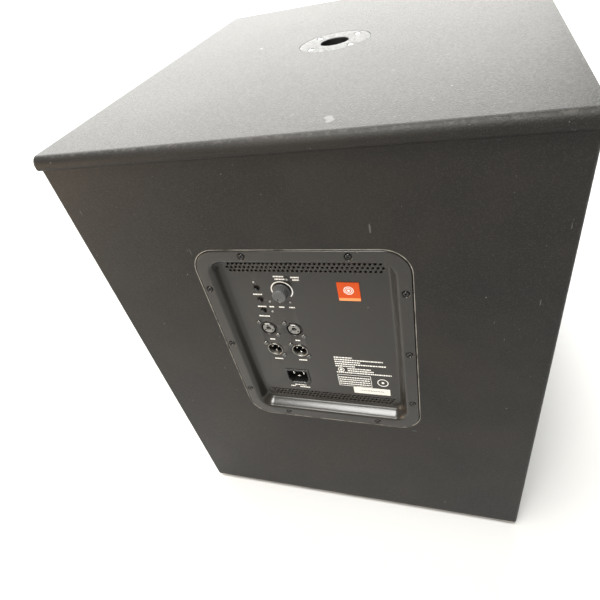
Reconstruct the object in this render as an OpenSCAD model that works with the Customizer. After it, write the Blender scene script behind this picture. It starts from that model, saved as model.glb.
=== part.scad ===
// Powered 15-inch loudspeaker subwoofer with a recessed rear amplifier panel.
// Frame: +Z up, front grille towards -Y, amplifier panel towards +Y.
// Origin: centre of the footprint, on the ground under the rubber feet.

/* [Cabinet] */
// Outside width of the cabinet
cabinet_width = 508; // [470:1:640]
// Depth of the side panels from front edge to rear edge
cabinet_depth = 586; // [520:1:720]
// Height of the cabinet without its feet
cabinet_height = 627; // [600:1:760]
// Thickness of the side, bottom, rear and front panels
panel_thickness = 18; // [15:1:22]
// Thickness of the top panel
top_thickness = 15; // [12:1:20]
// How far the top panel's rounded nose stands out at the front and at the rear
nose_overhang = 4; // [2:0.5:6]
// Radius of the upper curve of the nose
nose_upper_radius = 9; // [6:0.5:11]
// Radius of the lower curve of the nose
nose_lower_radius = 4; // [1:0.5:5]
// Radius of the cabinet's upright corners
corner_radius = 4; // [2:0.5:10]
// Setback of the baffle behind the cabinet's front edges
baffle_recess = 40; // [34:1:60]
// Height of the rubber feet
foot_height = 8; // [6:0.5:20]
// Radius of each rubber foot
foot_radius = 19; // [15:0.5:25]
// Distance of the feet from the cabinet's outer edges
foot_inset = 42; // [36:1:80]

/* [Woofer] */
// Outside radius of the woofer's mounting flange
woofer_flange_radius = 193.5; // [160:0.5:198]
// Distance of the woofer's screws from its flange's edge
woofer_screw_inset = 7; // [6:0.5:9]
// Gap between the woofer's flange and the underside of the top panel
woofer_top_gap = 14.5; // [6:0.5:30]
// Furthest the cone moves each way
cone_travel = 8; // [2:0.5:8]

/* [Ports] */
// Inside radius of each bass port
port_radius = 50; // [40:1:52]
// Length of each port tube behind the baffle
port_length = 190; // [80:1:200]
// Gap between each port's lip and the batten or panel beside it
port_side_gap = 1.5; // [1:0.5:20]
// Gap between each port's lip and the bottom panel
port_bottom_gap = 9; // [2:0.5:20]

/* [Handles] */
// Height of the handle centres above the cabinet's underside
handle_height = 360; // [300:1:380]
// Length of each handle cup's opening
handle_length = 160; // [130:1:180]
// Height of each handle cup's opening
handle_opening = 90; // [80:1:110]
// Depth of each handle cup
handle_depth = 55; // [45:1:60]

/* [Pole socket] */
// Radius of the socket that takes a speaker pole
pole_radius = 17.9; // [17.6:0.05:18.2]
// Depth of the plain socket above the threaded floor
pole_depth = 58; // [40:1:70]
// Radius of the tapped hole in the socket's floor
pole_thread_radius = 8.75; // [8:0.05:9]
// Length of the tapped hole
pole_thread_length = 14; // [10:1:18]

/* [Amplifier panel] */
// Width of the amplifier panel
plate_width = 235; // [232:1:245]
// Height of the amplifier panel
plate_height = 287.5; // [284:0.5:300]
// Height of the panel's centre above the cabinet's underside
plate_center_height = 365; // [330:1:380]
// Radius of the panel's outer corners
plate_corner_radius = 28; // [20:1:34]
// Width of the flat flange around the recess
flange_width = 14; // [13:0.5:16]
// Depth of the recess below the flange
recess_depth = 15; // [12:0.5:18]
// Sideways run of the recess's sloping wall
recess_run = 10; // [8:0.5:12]
// Thickness of the panel's metal
plate_metal = 3; // [2:0.5:4]
// Distance of the panel's screws from its edge
screw_inset = 6.8; // [6:0.1:7.5]

/* [Controls] */
// Radius of the volume knob
knob_radius = 10; // [8:0.5:11]
// Height of the volume knob
knob_height = 11.5; // [8:0.5:13]
// Turn of the volume knob from its lowest to its highest setting
knob_turn = 300; // [270:1:300]
// Radius of the push buttons
button_radius = 3; // [2.5:0.1:3.4]
// How far a push button stands out of the panel
button_height = 3.2; // [2.5:0.1:5]
// How far a push button moves when pressed
button_travel = 1.5; // [1:0.1:2]
// Diameter of a cooling hole
vent_diameter = 3; // [2:0.1:3.6]
// Distance between neighbouring cooling holes in a row
vent_pitch = 5.35; // [5:0.05:5.5]
// Distance between the rows of cooling holes
vent_row_pitch = 4.8; // [4.4:0.1:5]

/* [Sockets] */
// Distance between the two channels' sockets
socket_spacing = 33.5; // [30:0.5:36]
// Distance between the input and the output sockets
socket_rise = 37; // [32:0.5:40]
// Half the distance between a socket's screws, along each direction
socket_screw_offset = 10.3; // [10:0.1:11]
// Radius of the combination input sockets
combo_radius = 10.8; // [10:0.1:11.5]
// Radius of the output sockets
output_radius = 10.2; // [9.8:0.1:10.5]
// Width of the mains inlet
inlet_width = 26.5; // [25:0.5:28]
// Height of the mains inlet
inlet_height = 22; // [20:0.5:24]

/* [Hidden] */
$fn = 64;

// Running and fitting clearances
running_gap = 0.05;
fit_gap = 0.25;
cut = 1;

// Cabinet levels and planes
half_width = cabinet_width / 2;
half_depth = cabinet_depth / 2;
inner_half_width = half_width - panel_thickness;
base_z = foot_height;
floor_z = base_z + panel_thickness;
top_z = base_z + cabinet_height;
under_top_z = top_z - top_thickness;
baffle_y = -half_depth + baffle_recess;
back_inner_y = half_depth - panel_thickness;

batten_width = 16;

// Ports: radii, and places measured from the cabinet's middle and its underside
port_wall = 3;
port_flare = 12;
port_lip = 9;
port_lip_height = 3;
port_outer_radius = port_radius + port_flare + port_lip;
port_hole_radius = port_radius + port_flare - 1;
port_x = inner_half_width - batten_width - port_side_gap - port_outer_radius;
port_height = panel_thickness + port_bottom_gap + port_outer_radius;

// Woofer: radii and heights measured forward from the baffle's face
woofer_height = cabinet_height - top_thickness - woofer_top_gap - woofer_flange_radius;
woofer_screw_circle = woofer_flange_radius - woofer_screw_inset;
flange_top = 4;
basket_radius = woofer_flange_radius - 17.5;
flange_bore_radius = basket_radius - 6;
basket_foot_radius = 100;
basket_foot_z = -100;
basket_shelf_z = -86;
basket_wall = 6;
roll_size = 10;
roll_radius = flange_bore_radius - roll_size + 1;
roll_thickness = 1.2;
cone_rim_radius = roll_radius - roll_size - 1;
cone_throat_z = -62;
cone_paper = 1.5;
coil_radius = 38;
former_wall = 0.4;
coil_wire = 1.5;
coil_length = 26;
magnet_gap = 1.1;
magnet_radius = 90;
front_plate_thickness = 10;
coil_end_margin = 1;
magnet_stop_gap = 6;
magnet_thickness = (coil_length - front_plate_thickness) / 2 + 2 * coil_end_margin + cone_travel
    + magnet_stop_gap;
yoke_thickness = 10;
woofer_screw_count = 8;
gasket_height = 4;
dust_cap_radius = 58;
dust_cap_rise = 14;

// Amplifier panel: heights measured outwards from the cabinet's rear face
rebate_depth = 4;
gasket_thickness = 1.5;
flange_face = plate_metal + gasket_thickness - rebate_depth;
recess_floor = flange_face - recess_depth;
recess_back = recess_floor - plate_metal;
mouth_width = plate_width - 2 * flange_width;
mouth_height = plate_height - 2 * flange_width;
mouth_corner = 18;
floor_width = mouth_width - 2 * recess_run;
floor_height = mouth_height - 2 * recess_run;
floor_corner = 8;
dish_gap = 1;
chassis_depth = 88;
chassis_wall = 1.2;

// Places on the amplifier panel, from its centre: right as seen from behind, then up
knob_at = [-29.3, 78.6];
button_x = -60.3;
power_button_at = [button_x, 80];
crossover_button_at = [button_x, 62.5];
polarity_button_at = [button_x, 45.5];
light_places = [[-61.2, 90.3], [-48.4, 61], [-35.7, 61], [-23, 61], [-48.8, 45.2], [-19.9, 94.9]];
light_radius = 1.5;
sockets_at = [-44.55, -2.9];
inlet_at = [-40.9, -74.4];
badge_at = [48.4, 79.4];
badge_size = [24.8, 26.2];
vent_margin = 4;
vent_count = floor((floor_width - 2 * vent_margin) / vent_pitch) + 1;
upper_vent_counts = [vent_count - 1, vent_count, vent_count - 1];
upper_vent_z = floor_height / 2 - 3.4 - 2 * vent_row_pitch;
lower_vent_counts = [vent_count - 1, vent_count - 2, vent_count - 3];
lower_vent_z = -floor_height / 2 + 5;
shaft_radius = 3;
bush_radius = 3.9;
inlet_chamfer = 6;
inlet_wall = 2;
inlet_flange = 3.4;

// Points along an arc about a centre, from one angle to another
function arc(center, radius, from, to, steps = 8) = [
    for (i = [0:steps])
        let (a = from + (to - from) * i / steps)
        [center[0] + radius * cos(a), center[1] + radius * sin(a)]
];

// Outline of a centred rectangle with round corners
function rounded_rectangle(width, height, radius) = let (
    x = width / 2 - radius,
    y = height / 2 - radius
) concat(
    arc([x, y], radius, 0, 90),
    arc([-x, y], radius, 90, 180),
    arc([-x, -y], radius, 180, 270),
    arc([x, -y], radius, 270, 360)
);

module rounded_slab(width, height, radius, thickness) {
    linear_extrude(thickness) polygon(rounded_rectangle(width, height, radius));
}

// Faces the rear of the cabinet: x right as seen from behind, y up, z outwards
module on_rear(place = [0, 0]) {
    translate([-place[0], half_depth, place[1]]) rotate([90, 0, 180]) children();
}

module on_amp(place = [0, 0]) {
    on_rear([place[0], base_z + plate_center_height + place[1]]) children();
}

// Faces the front of the cabinet with z forward from the baffle's face
module on_baffle(x, height) {
    translate([x, baffle_y, base_z + height]) rotate([90, 0, 0]) children();
}

module on_woofer() {
    on_baffle(0, woofer_height) children();
}

module around(count, radius, start = 0) {
    for (i = [0:count - 1])
        rotate([0, 0, start + i * 360 / count]) translate([radius, 0, 0]) children();
}

// Small countersunk screws that hold the handle cups and the pole socket
small_shank_radius = 2;
small_hole_radius = 2.2;
small_head_radius = 3.8;
small_head_height = 1.5;
small_seat_radius = 4.2;
small_seat_depth = 1.6;

// A screw along z: head above z = 0, shank below, hexagon drive in the head
module screw(shank_radius, shank_length, head_radius, head_height) {
    translate([0, 0, -shank_length]) cylinder(r = shank_radius, h = shank_length, $fn = 24);
    difference() {
        cylinder(r1 = head_radius, r2 = head_radius * 0.72, h = head_height, $fn = 32);
        translate([0, 0, head_height * 0.4])
            cylinder(r = head_radius * 0.42, h = head_height, $fn = 6);
    }
}

// ---- Cabinet ----

// Section of the top panel across its depth: y, then height above its underside
function top_section() = let (
    reach = half_depth + nose_overhang,
    up = top_thickness - nose_upper_radius,
    inset = reach - nose_upper_radius,
    lower_radius = min(nose_lower_radius, up - 1),
    low = reach - lower_radius
) concat(
    arc([low, lower_radius], lower_radius, 270, 360, 5),
    arc([inset, up], nose_upper_radius, 0, 90, 10),
    arc([-inset, up], nose_upper_radius, 90, 180, 10),
    arc([-low, lower_radius], lower_radius, 180, 270, 5)
);

socket_flange_radius = 46;
socket_flange = 3;
socket_tube_radius = pole_radius + 4.1;
socket_screw_circle = 36;
socket_screw_length = 12;

module top_panel() {
    color("#2b2a28") difference() {
        translate([-half_width, 0, under_top_z]) rotate([90, 0, 90])
            linear_extrude(cabinet_width) polygon(top_section());
        translate([0, 0, top_z - socket_flange])
            cylinder(r = socket_flange_radius + fit_gap, h = socket_flange + cut);
        translate([0, 0, under_top_z - cut])
            cylinder(r = socket_tube_radius + fit_gap, h = top_thickness + 2 * cut);
        translate([0, 0, under_top_z - cut]) around(4, socket_screw_circle, 45)
            cylinder(r = small_shank_radius + running_gap, h = top_thickness, $fn = 24);
    }
}

module on_feet() {
    for (x = [-1, 1], y = [-1, 1])
        translate([x * (half_width - foot_inset), y * (half_depth - foot_inset), 0]) children();
}

foot_screw_radius = 2.2;
foot_screw_recess = 5;
foot_screw_length = 18;
foot_recess_radius = 7;

module bottom_panel() {
    color("#2b2a28") difference() {
        translate([-inner_half_width, -half_depth, base_z])
            cube([2 * inner_half_width, cabinet_depth, panel_thickness]);
        on_feet() translate([0, 0, base_z - cut])
            cylinder(r = foot_screw_radius + running_gap, h = foot_screw_length, $fn = 24);
    }
}

module rubber_feet() {
    color("#1a1a1a") on_feet() difference() {
        cylinder(r1 = foot_radius - 2, r2 = foot_radius, h = foot_height);
        translate([0, 0, -cut]) cylinder(r = foot_recess_radius, h = foot_screw_recess + cut);
        translate([0, 0, -cut])
            cylinder(r = foot_screw_radius + running_gap, h = foot_height + 2 * cut, $fn = 24);
    }
}

module foot_screws() {
    color("silver") on_feet() translate([0, 0, foot_screw_recess]) mirror([0, 0, 1])
        screw(foot_screw_radius, foot_height - foot_screw_recess + foot_screw_length - 2, 5, 2.6);
}

cup_flange = 3;
cup_wall = 3;
cup_rim = 14;
cup_corner = 22;
bar_radius = 9;
bar_inset = 18;
bar_setback = 3;
handle_screw_length = 14;
cup_screw_x = handle_length / 2 + cup_rim / 2;

// Places a handle on the +X side: x along +Y, y up, z outwards from the panel
module on_handle() {
    translate([half_width, 0, base_z + handle_height]) rotate([90, 0, 90]) children();
}

module handle_screw_places() {
    for (x = [-cup_screw_x, cup_screw_x], y = [-handle_opening / 4, handle_opening / 4])
        translate([x, y, 0]) children();
}

module right_panel_shape() {
    corner = corner_radius;
    outline = concat(
        [[inner_half_width, -half_depth]],
        arc([half_width - corner, -half_depth + corner], corner, 270, 360, 5),
        arc([half_width - corner, half_depth - corner], corner, 0, 90, 5),
        [[inner_half_width, half_depth]]
    );
    difference() {
        translate([0, 0, base_z]) linear_extrude(cabinet_height - top_thickness) polygon(outline);
        on_handle() {
            translate([0, 0, -cup_flange])
                rounded_slab(handle_length + 2 * cup_rim + 2 * fit_gap,
                    handle_opening + 2 * cup_rim + 2 * fit_gap, cup_corner, cup_flange + cut);
            translate([0, 0, -panel_thickness - cut])
                rounded_slab(handle_length + 2 * cup_wall + 2 * fit_gap,
                    handle_opening + 2 * cup_wall + 2 * fit_gap, cup_corner, panel_thickness + cut);
            handle_screw_places() translate([0, 0, -panel_thickness - cut])
                cylinder(r = small_shank_radius + running_gap, h = panel_thickness, $fn = 24);
        }
    }
}

module right_side_panel() {
    color("#2b2a28") right_panel_shape();
}

module left_side_panel() {
    color("#2b2a28") mirror([1, 0, 0]) right_panel_shape();
}

bar_rise = handle_opening / 2 - bar_inset;
cup_taper = 16;

module cup_cavity() {
    hull() {
        translate([0, 0, -panel_thickness])
            rounded_slab(handle_length, handle_opening, cup_corner, panel_thickness + cut);
        translate([0, 0, cup_wall - handle_depth])
            rounded_slab(handle_length - cup_taper, handle_opening - cup_taper, cup_corner, 1);
    }
}

module right_cup_shape() {
    on_handle() difference() {
        union() {
            translate([0, 0, -cup_flange])
                rounded_slab(handle_length + 2 * cup_rim, handle_opening + 2 * cup_rim,
                    cup_corner, cup_flange);
            hull() {
                translate([0, 0, -panel_thickness]) rounded_slab(handle_length + 2 * cup_wall,
                    handle_opening + 2 * cup_wall, cup_corner, panel_thickness);
                translate([0, 0, -handle_depth])
                    rounded_slab(handle_length - cup_taper + 2 * cup_wall,
                        handle_opening - cup_taper + 2 * cup_wall, cup_corner, 1);
            }
        }
        cup_cavity();
        handle_screw_places() translate([0, 0, -cup_flange - cut])
            cylinder(r = small_hole_radius, h = cup_flange + 2 * cut, $fn = 24);
        handle_screw_places() translate([0, 0, -small_seat_depth])
            cylinder(r = small_seat_radius, h = small_seat_depth + cut, $fn = 24);
    }
}

module right_handle_cup() {
    color("#1f1f1f") right_cup_shape();
}

module left_handle_cup() {
    color("#1f1f1f") mirror([1, 0, 0]) right_cup_shape();
}

module handle_bars() {
    color("#1a1a1a") for (side = [0, 1]) mirror([side, 0, 0]) on_handle() intersection() {
        translate([-handle_length / 2, bar_rise, -bar_radius - bar_setback]) rotate([0, 90, 0])
            cylinder(r = bar_radius, h = handle_length);
        cup_cavity();
    }
}

module handle_screws() {
    color("silver") for (side = [0, 1]) mirror([side, 0, 0]) on_handle()
        handle_screw_places() translate([0, 0, -small_seat_depth])
        screw(small_shank_radius, handle_screw_length, small_head_radius, small_head_height);
}

plate_cutout_width = mouth_width + 2 * plate_metal + 2 * dish_gap;
plate_cutout_height = mouth_height + 2 * plate_metal + 2 * dish_gap;
plate_gap = 1.1;
side_screw_pitch = 90.5;
top_screw_x = 57.5;
bottom_screw_x = 63.5;

// Screw places around the panel: two on the top and bottom edges, three on each side
module plate_screw_places() {
    side_x = plate_width / 2 - screw_inset;
    end_y = plate_height / 2 - screw_inset;
    for (x = [-side_x, side_x], y = [-side_screw_pitch, 0, side_screw_pitch])
        translate([x, y, 0]) children();
    for (x = [-top_screw_x, top_screw_x]) translate([x, end_y, 0]) children();
    for (x = [-bottom_screw_x, bottom_screw_x]) translate([x, -end_y, 0]) children();
}

amp_screw_radius = 2.2;
amp_hole_radius = 2.4;
amp_screw_length = 16;

module back_panel() {
    color("#2b2a28") difference() {
        translate([-inner_half_width, back_inner_y, floor_z])
            cube([2 * inner_half_width, panel_thickness, under_top_z - floor_z]);
        on_amp() {
            translate([0, 0, -rebate_depth]) rounded_slab(plate_width + 2 * plate_gap,
                plate_height + 2 * plate_gap, plate_corner_radius + plate_gap, rebate_depth + cut);
            translate([0, 0, -panel_thickness - cut])
                rounded_slab(plate_cutout_width, plate_cutout_height, mouth_corner + plate_metal,
                    panel_thickness + 2 * cut);
            plate_screw_places() translate([0, 0, -panel_thickness - cut])
                cylinder(r = amp_screw_radius + running_gap, h = panel_thickness, $fn = 24);
        }
    }
}

module port_places() {
    for (x = [-port_x, port_x]) on_baffle(x, port_height) children();
}

module front_baffle() {
    color("#3a3632") difference() {
        translate([-inner_half_width, baffle_y, floor_z])
            cube([2 * inner_half_width, panel_thickness, under_top_z - floor_z]);
        on_woofer() {
            translate([0, 0, -panel_thickness - cut])
                cylinder(r = basket_radius + dish_gap, h = panel_thickness + 2 * cut, $fn = 96);
            translate([0, 0, -panel_thickness - cut])
                around(woofer_screw_count, woofer_screw_circle, 22.5)
                cylinder(r = 2.5 + running_gap, h = panel_thickness + 2 * cut, $fn = 24);
        }
        port_places() translate([0, 0, -panel_thickness - cut])
            cylinder(r = port_hole_radius, h = panel_thickness + 2 * cut);
    }
}

brace_setback = 163;
brace_y = back_inner_y - brace_setback;
brace_rail = 60;

module window_brace() {
    width = 2 * inner_half_width;
    height = under_top_z - floor_z;
    color("#8a6a45") translate([0, brace_y, floor_z]) difference() {
        translate([-inner_half_width, 0, 0]) cube([width, panel_thickness, height]);
        translate([-inner_half_width + brace_rail, -cut, brace_rail])
            cube([width - 2 * brace_rail, panel_thickness + 2 * cut, height / 2 - 1.5 * brace_rail]);
        translate([-inner_half_width + brace_rail, -cut, height / 2 + brace_rail / 2])
            cube([width - 2 * brace_rail, panel_thickness + 2 * cut, height / 2 - 1.5 * brace_rail]);
    }
}

grille_setback = 1.5;
grille_sheet = 1.5;
foam_thickness = 5;
grille_gap = 1;
batten_depth = baffle_recess - grille_setback - grille_sheet;

// Places the grille's screws on its front face, z forward
module grille_screw_places() {
    x = inner_half_width - batten_width / 2;
    low = floor_z + 40;
    high = under_top_z - 40;
    for (side = [-1, 1], i = [0:3])
        translate([side * x, -half_depth + grille_setback, low + i * (high - low) / 3])
            rotate([90, 0, 0]) children();
}

module grille_battens() {
    color("#6d5337") difference() {
        for (side = [-1, 1])
            translate([side * (inner_half_width - batten_width / 2) - batten_width / 2,
                baffle_y - batten_depth, floor_z])
                cube([batten_width, batten_depth, under_top_z - floor_z]);
        grille_screw_places() translate([0, 0, -25])
            cylinder(r = 1.8 + running_gap, h = 26, $fn = 24);
    }
}

lining_thickness = 25;

module damping_lining() {
    y = brace_y + panel_thickness + 4;
    depth = back_inner_y - y;
    color("#55585c") {
        translate([-inner_half_width, back_inner_y - lining_thickness, floor_z])
            cube([2 * inner_half_width, lining_thickness, 150]);
        translate([-inner_half_width, y, under_top_z - lining_thickness])
            cube([2 * inner_half_width, depth, lining_thickness]);
        for (side = [-1, 1])
            translate([side * (inner_half_width - lining_thickness / 2) - lining_thickness / 2,
                y, floor_z + 160])
                cube([lining_thickness, depth - lining_thickness, 240]);
    }
}

module grille() {
    width = 2 * inner_half_width - 2 * grille_gap;
    height = under_top_z - floor_z - 2 * grille_gap;
    color("#242424") difference() {
        translate([-width / 2, -half_depth + grille_setback, floor_z + grille_gap])
            cube([width, grille_sheet, height]);
        grille_screw_places() translate([0, 0, -grille_sheet - cut])
            cylinder(r = 2.2, h = grille_sheet + 2 * cut, $fn = 24);
    }
}

module grille_foam() {
    width = 2 * (inner_half_width - batten_width - grille_gap);
    color("#161616")
        translate([-width / 2, -half_depth + grille_setback + grille_sheet, floor_z + grille_gap])
        cube([width, foam_thickness, under_top_z - floor_z - 2 * grille_gap]);
}

module grille_screws() {
    color("#1a1a1a") grille_screw_places() screw(1.8, 22, 4, 1.2);
}

// ---- Pole socket ----

module pole_socket() {
    length = pole_depth + pole_thread_length;
    color("#202020") translate([0, 0, top_z]) difference() {
        union() {
            translate([0, 0, -socket_flange]) cylinder(r = socket_flange_radius, h = socket_flange);
            translate([0, 0, -length]) cylinder(r = socket_tube_radius, h = length);
        }
        translate([0, 0, -pole_depth]) cylinder(r = pole_radius, h = pole_depth + cut);
        translate([0, 0, -length - cut]) cylinder(r = pole_thread_radius, h = length);
        around(4, socket_screw_circle, 45) translate([0, 0, -socket_flange - cut])
            cylinder(r = small_hole_radius, h = socket_flange + 2 * cut, $fn = 24);
        around(4, socket_screw_circle, 45) translate([0, 0, -small_seat_depth])
            cylinder(r = small_seat_radius, h = small_seat_depth + cut, $fn = 24);
    }
}

module pole_socket_screws() {
    color("silver") translate([0, 0, top_z - small_seat_depth]) around(4, socket_screw_circle, 45)
        screw(small_shank_radius, socket_screw_length, small_head_radius, small_head_height);
}

// ---- Bass ports ----

function port_section() = let (mouth = port_radius + port_flare) concat(
    arc([mouth, port_lip_height - port_flare], port_flare, 90, 180, 8),
    [
        [port_radius, -port_length],
        [port_radius + port_wall, -port_length],
        [port_radius + port_wall, -26],
        [port_hole_radius - fit_gap, -14],
        [port_hole_radius - fit_gap, 0],
        [port_outer_radius, 0],
        [port_outer_radius, port_lip_height]
    ]
);

module port_tube(side) {
    color("#1c1c1c") on_baffle(side * port_x, port_height)
        rotate_extrude() polygon(port_section());
}

module left_port_tube() {
    port_tube(-1);
}

module right_port_tube() {
    port_tube(1);
}

// ---- Woofer ----

module woofer_basket() {
    section = [
        [woofer_flange_radius, flange_top], [woofer_flange_radius, 0], [basket_radius, 0],
        [basket_radius, -10], [basket_foot_radius, basket_shelf_z - 2],
        [basket_foot_radius, basket_foot_z], [coil_radius + 10, basket_foot_z],
        [coil_radius + 10, basket_foot_z + 4], [basket_foot_radius - 5, basket_foot_z + 4],
        [basket_foot_radius - 5, basket_shelf_z - 4], [80, basket_shelf_z - 4],
        [80, basket_shelf_z], [basket_foot_radius - basket_wall, basket_shelf_z],
        [basket_radius - basket_wall, -8], [flange_bore_radius, flange_top]
    ];
    color("#33322f") on_woofer() difference() {
        rotate_extrude($fn = 96) polygon(section);
        around(6, basket_foot_radius) translate([0, -40, basket_shelf_z + 8])
            cube([90, 80, 58]);
        around(woofer_screw_count, woofer_screw_circle, 22.5) translate([0, 0, -cut])
            cylinder(r = 3, h = flange_top + 2 * cut, $fn = 24);
    }
}

gasket_base = flange_top + roll_thickness;
gasket_bore_radius = flange_bore_radius + 3.5;

module woofer_gasket() {
    color("#111111") on_woofer() difference() {
        translate([0, 0, gasket_base]) cylinder(r = woofer_flange_radius, h = gasket_height, $fn = 96);
        cylinder(r = gasket_bore_radius, h = 20, $fn = 96);
        around(woofer_screw_count, woofer_screw_circle, 22.5)
            cylinder(r = 3, h = 20, $fn = 24);
    }
}

// Half-roll edge with a flat lip each side, glued to the cone and under the gasket
function surround_section() = let (t = roll_thickness, z = flange_top) concat(
    [[woofer_flange_radius, z], [woofer_flange_radius, z + t], [roll_radius + roll_size, z + t]],
    arc([roll_radius, z + t], roll_size, 10, 170, 16),
    [[cone_rim_radius - 6, z + t], [cone_rim_radius - 6, z]],
    [[roll_radius - roll_size + t, z]],
    arc([roll_radius, z + t], roll_size - t, 170, 10, 16),
    [[roll_radius + roll_size - t, z]]
);

module woofer_surround() {
    color("#191919") on_woofer() difference() {
        rotate_extrude($fn = 96) polygon(surround_section());
        around(woofer_screw_count, woofer_screw_circle, 22.5)
            cylinder(r = 3, h = 20, $fn = 24);
    }
}

// Height of the cone's upper face at a radius: a gentle curve from rim to throat
cone_throat_radius = coil_radius + former_wall;
cone_rim_z = flange_top;
function cone_height(r) = let (
    t = (r - cone_throat_radius) / (cone_rim_radius - cone_throat_radius)
) cone_throat_z + (cone_rim_z - cone_throat_z) * pow(t, 0.85);

cone_steps = 10;
cone_radii = [
    for (i = [0:cone_steps])
        cone_throat_radius + (cone_rim_radius - cone_throat_radius) * i / cone_steps
];
cone_depth = cone_paper * 1.3;
cone_curve = [for (r = cone_radii) [r, cone_height(r)]];

module woofer_cone() {
    lower = [for (i = [cone_steps:-1:0]) cone_curve[i] - [0, cone_depth]];
    color("#262524") on_woofer() rotate_extrude($fn = 96) polygon(concat(cone_curve, lower));
}

module woofer_dust_cap() {
    base = lookup(dust_cap_radius, cone_curve);
    steps = 8;
    outer = [
        for (i = [0:steps])
            let (r = dust_cap_radius * (1 - i / steps))
            [r, base + dust_cap_rise * (1 - pow(r / dust_cap_radius, 2))]
    ];
    inner = [for (i = [steps:-1:1]) [outer[i][0], outer[i][1] - 1]];
    color("#1d1d1d") on_woofer() rotate_extrude() polygon(concat(outer, inner));
}

spider_outer = 92;
spider_foot_radius = 80.5;
spider_foot = 1.1;
spider_wave_end = 76;
spider_waves = 5;
spider_wave_height = 2;
spider_cloth = 0.8;
spider_inner = coil_radius + former_wall;
spider_z = basket_shelf_z + 1.5;

// Centre line height of the corrugated spider
function spider_height(r) = let (t = (r - spider_inner - 4) / (spider_wave_end - spider_inner))
    (t <= 0 || t >= 1) ? 0 : spider_wave_height * sin(360 * spider_waves * t);

module woofer_spider() {
    steps = 40;
    radii = [for (i = [0:steps]) spider_inner + (spider_outer - spider_inner) * i / steps];
    upper = [for (r = radii) [r, spider_z + spider_height(r) + spider_cloth / 2]];
    lower = [for (i = [steps:-1:0]) upper[i] - [0, spider_cloth]];
    color("#b8862f") on_woofer() {
        rotate_extrude() polygon(concat(upper, lower));
        difference() {
            translate([0, 0, basket_shelf_z]) cylinder(r = spider_outer, h = spider_foot);
            translate([0, 0, basket_shelf_z - cut])
                cylinder(r = spider_foot_radius, h = spider_foot + 2 * cut);
        }
    }
}

former_bottom = basket_foot_z - front_plate_thickness / 2 - coil_length / 2 - coil_end_margin;

module tube(inner, outer, low, high) {
    translate([0, 0, low]) difference() {
        cylinder(r = outer, h = high - low);
        translate([0, 0, -cut]) cylinder(r = inner, h = high - low + 2 * cut);
    }
}

module coil_former() {
    color("#c9b27a") on_woofer()
        tube(coil_radius - former_wall, coil_radius + former_wall, former_bottom, cone_throat_z);
}

module voice_coil() {
    color("#b5651d") on_woofer()
        tube(coil_radius + former_wall, coil_radius + former_wall + coil_wire,
            former_bottom + coil_end_margin, former_bottom + coil_end_margin + coil_length);
}

front_plate_low = basket_foot_z - front_plate_thickness;
magnet_low = front_plate_low - magnet_thickness;

module magnet_front_plate() {
    color("#8d8d8d") on_woofer()
        tube(coil_radius + former_wall + coil_wire + magnet_gap, magnet_radius - 2,
            front_plate_low, basket_foot_z);
}

module magnet_ring() {
    color("#2f2f31") on_woofer()
        tube(coil_radius + 12, magnet_radius, magnet_low, front_plate_low);
}

module magnet_pole_yoke() {
    color("#8d8d8d") on_woofer() difference() {
        union() {
            translate([0, 0, magnet_low - yoke_thickness])
                cylinder(r = magnet_radius - 4, h = yoke_thickness);
            translate([0, 0, magnet_low])
                cylinder(r = coil_radius - former_wall - magnet_gap, h = basket_foot_z - magnet_low);
        }
        translate([0, 0, magnet_low - yoke_thickness - cut])
            cylinder(r = 12, h = yoke_thickness + magnet_thickness + front_plate_thickness + 2 * cut);
    }
}

module woofer_screws() {
    color("#151515") on_woofer() translate([0, 0, gasket_base + gasket_height])
        around(woofer_screw_count, woofer_screw_circle, 22.5)
        screw(2.5, gasket_base + gasket_height + panel_thickness - 2, 5, 3);
}

module woofer_terminals() {
    color("#7a2420") on_woofer() rotate([0, 0, 30]) difference() {
        translate([basket_foot_radius, 0, 0]) {
            translate([-3, -12, basket_foot_z + 1.5]) cube([9, 24, 10]);
            for (y = [-7, 7]) translate([6, y - 2.5, basket_foot_z + 6]) cube([9, 5, 0.8]);
        }
        translate([0, 0, basket_foot_z]) cylinder(r = basket_foot_radius, h = 14, $fn = 96);
    }
}

// ---- Amplifier module ----

module vent_row(count, z) {
    for (i = [0:count - 1])
        translate([(i - (count - 1) / 2) * vent_pitch, z, recess_back - cut])
            cylinder(d = vent_diameter, h = plate_metal + 2 * cut, $fn = 16);
}

// Places of the two columns of sockets; row 1 is the inputs and row -1 the outputs
module socket_places(row) {
    for (column = [-1, 1])
        translate([sockets_at[0] + column * socket_spacing / 2,
            sockets_at[1] + row * socket_rise / 2, 0]) children();
}

module socket_screw_places() {
    for (row = [-1, 1]) socket_places(row) for (s = [-1, 1])
        translate([s * socket_screw_offset, -s * socket_screw_offset, 0]) children();
}

// Six-sided outline of the mains inlet, narrow side down
function inlet_outline(grow) = let (
    x = inlet_width / 2 + grow,
    y = inlet_height / 2 + grow,
    c = inlet_chamfer
) [[-x, y], [-x, -y + c], [-x + c * 0.8, -y], [x - c * 0.8, -y], [x, -y + c], [x, y]];

module plate_hole(place, radius) {
    translate([place[0], place[1], recess_back - cut])
        cylinder(r = radius, h = plate_metal + 2 * cut, $fn = 32);
}

dimple_radius = 5;
dimple_depth = 1.6;
dimple_seat_radius = 3.3;
dimple_sphere = (dimple_radius * dimple_radius + dimple_depth * dimple_depth) / (2 * dimple_depth);

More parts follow.
